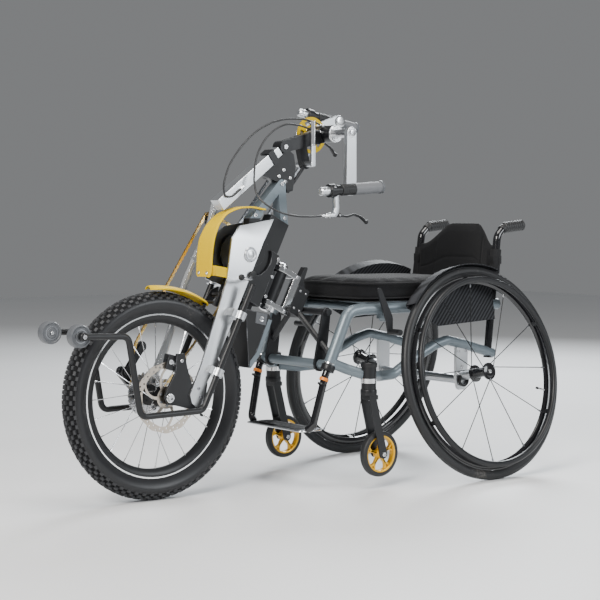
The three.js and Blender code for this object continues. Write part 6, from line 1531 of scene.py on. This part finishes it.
dropout_bolts = bolts([[-86, 69.6, 256], [-90, 69.6, 282], [-34, 69.6, 356]], 4.6, 2.8)
axle_nuts = on_both_ends(bolt(9.4, 7, 0.45, True), FRONT_HUB, NUT_Y)
axle_washers = [rod(*[FRONT_HUB + [0, side * y, 0] for y in WASHER_YS], 11.5, 0.4, 32) for side in (1, -1)]
drive_parts = [(plate_bolts, dark_steel), (ring_cap, silver), (ring_groove, dark_steel),
               (carrier_bolts, silver_edge), (on_the_right(carrier_bolts), silver_edge),
               (knuckle_bolt, steel), (bearing, silver_edge), (column_bolts, steel), (strut_bolts, steel),
               (on_the_right(strut_bolts), steel), (caliper_bolts, steel), (caliper_ring, silver_edge),
               (dropout_bolts, steel), *in_finish(steel, axle_nuts), *in_finish(silver_edge, axle_washers)]
make("drive_fasteners", drive_parts, "front_unit", "steel")

# %% Clamp lever of the stand
clamp_line = smooth_path([[-259, 58, 561], [-242, 84, 558], [-224, 90, 557], [-208, 90, 562]], 40)
clamp_bar = swept(clamp_line, circle(4.2, 14), (0, 0, 1))
knob = lathe([[0, -8], [4, -7.2], [7, -4.4], [8.2, 0], [7, 4.4], [4, 7.2], [0, 8]], (-204, 90, 563),
             (1, 0, 0.2), 28)
a_knob = np.linspace(0, TURN, 48, endpoint=False)
lobes = 1 + 0.09 * np.cos(12 * a_knob)
knob_rings = [np.stack([r * lobes * np.cos(a_knob), r * lobes * np.sin(a_knob), z + 0 * a_knob], 1)
              for r, z in ((0.01, 0), (9.5, 0), (10.5, 1.5), (10.5, 8.5), (9, 10), (0.01, 10.4))]
star_knob = moved(grid(np.stack(knob_rings), around=True), square_axes((0, 1, 0)), (-266, 50.4, 566))
make("stand_clamp_lever", [(clamp_bar, steel), *in_finish(black_plastic, [knob, star_knob])], "front_unit",
     "black_plastic")

# %% Battery trim
TRIM_Y, LOCK = 37.6, (-308, 450)
strip = flat_piece([[-343, 445], [-300.5, 352], [-276, 325.5], [-270, 325.5], [-271, 340], [-292, 362],
                    [-331, 448]], [], TRIM_Y, 39.4)
lock_panel = flat_piece([[-328, 461], [-292, 468.5], [-288, 440], [-322, 432]], [circle(7.2, 24, LOCK)],
                        TRIM_Y, 39.2)
lock_ring = hoop([[4.6, 37.6], [7, 37.6], [7, 40.4], [6.2, 41], [4.6, 40.6]], (LOCK[0], 0, LOCK[1]), count=32)
lock_core = lathe([[0, 39.8], [4.6, 39.6], [4.6, 37.6], [0, 37.6]], (LOCK[0], 0, LOCK[1]), count=24)
groove_line = flat_piece([[-322, 428], [-320, 428.4], [-276, 336], [-278, 335.6]], [], 37.8, 38.7)
make("battery_trim", [(strip, slate), (lock_panel, grey_plastic), (lock_ring, silver_edge),
                      (lock_core, dark_steel), (groove_line, black_edge), (on_the_right(strip), slate)],
     "front_unit", "black_plastic")

# %% Arms and dock
HEAD_LEAN_DEG, HEAD_MIDDLE = 26.5, (-377, 0, 531)
arm_bolt = bolts([CRANK + [0, 119, 0]], 9.6, 3)
arm_washer = hoop([[9.8, 0], [13, 0], [13, 1.4], [9.8, 1.4]], CRANK + [0, 117, 0], count=36)
make("crank_arm_bolts", [(arm_bolt, steel), (arm_washer, silver_edge), (on_the_right(arm_bolt), steel)],
     "crank", "steel")

screws = [(bolts([[-70, 25, -28], [-70, 25, 22], [-90, 25, -28], [-90, 25, 22]], 3.2, 2.4), steel),
          (bolts([[-45, 24, -50], [-45, 24, 50]], 4, 2.6), steel)]
cap_half = [[0, 69.4], [7, 69.2], [11, 68.2], [15, 66.6], [16.6, 65.4], [16.6, 62], [0, 62]]
head_caps = [lathe([[r, side * z] for r, z in cap_half], (0, 0, 0), (0, 0, 1)) for side in (1, -1)]
cap_screw = bolts([[0, 0, 69.2]], 6, 2.2, axis=(0, 0, 1))
dock_parts = [screws[0], *mirrored(screws[:1]), screws[1], *mirrored(screws[1:]),
              *in_finish(silver_edge, head_caps), (cap_screw, steel)]
make("dock_fasteners", placed(dock_parts, HEAD_MIDDLE, about_y(HEAD_LEAN_DEG)), "chair", "steel")

# %% Axle plates and casters
plate_screws = bolts([[-934, 169, 345], [-906, 169, 345], [-934, 169, 252], [-906, 169, 252]], 4.2, 2.6)
axle_collar = hoop([[13.2, 0], [18, 0], [19, 1], [19, 9], [18, 10], [13.2, 10]], (-921, 169, 264), count=40)
plate_nut = bolts([[-920, 169, 300]], 7, 3, hexagonal=True)
both_sides("axle_plate_fasteners", [(plate_screws, steel), (axle_collar, black), (plate_nut, steel)],
           "chair", "steel")

caster_nuts = on_both_ends(bolt(6.6, 3.4, 0.5, True), CASTER_HUB, 19.4)
both_sides("caster_fasteners", in_finish(steel, caster_nuts), "caster_fork_{side}", "steel")

# %% Valves
STEM_LENGTH, CAP_LENGTH = 26, 8


def valve(rim_radius, angle_deg):
    """A valve stem that points from the rim to the hub, and its cap."""
    out = about_y(angle_deg)[0]
    stem_end = rim_radius - STEM_LENGTH
    return [(rod(out * rim_radius, out * stem_end, 2.6, 0.5, 14), silver_edge),
            (rod(out * stem_end, out * (stem_end - CAP_LENGTH), 3.4, 0.8, 14), black_plastic)]


make("front_valve", placed(valve(186, -157.5), FRONT_HUB), "front_wheel", "steel")
both_sides("rear_valve", placed(valve(250, -165), REAR_HUB, REAR_AXES), "rear_wheel_{side}", "steel")
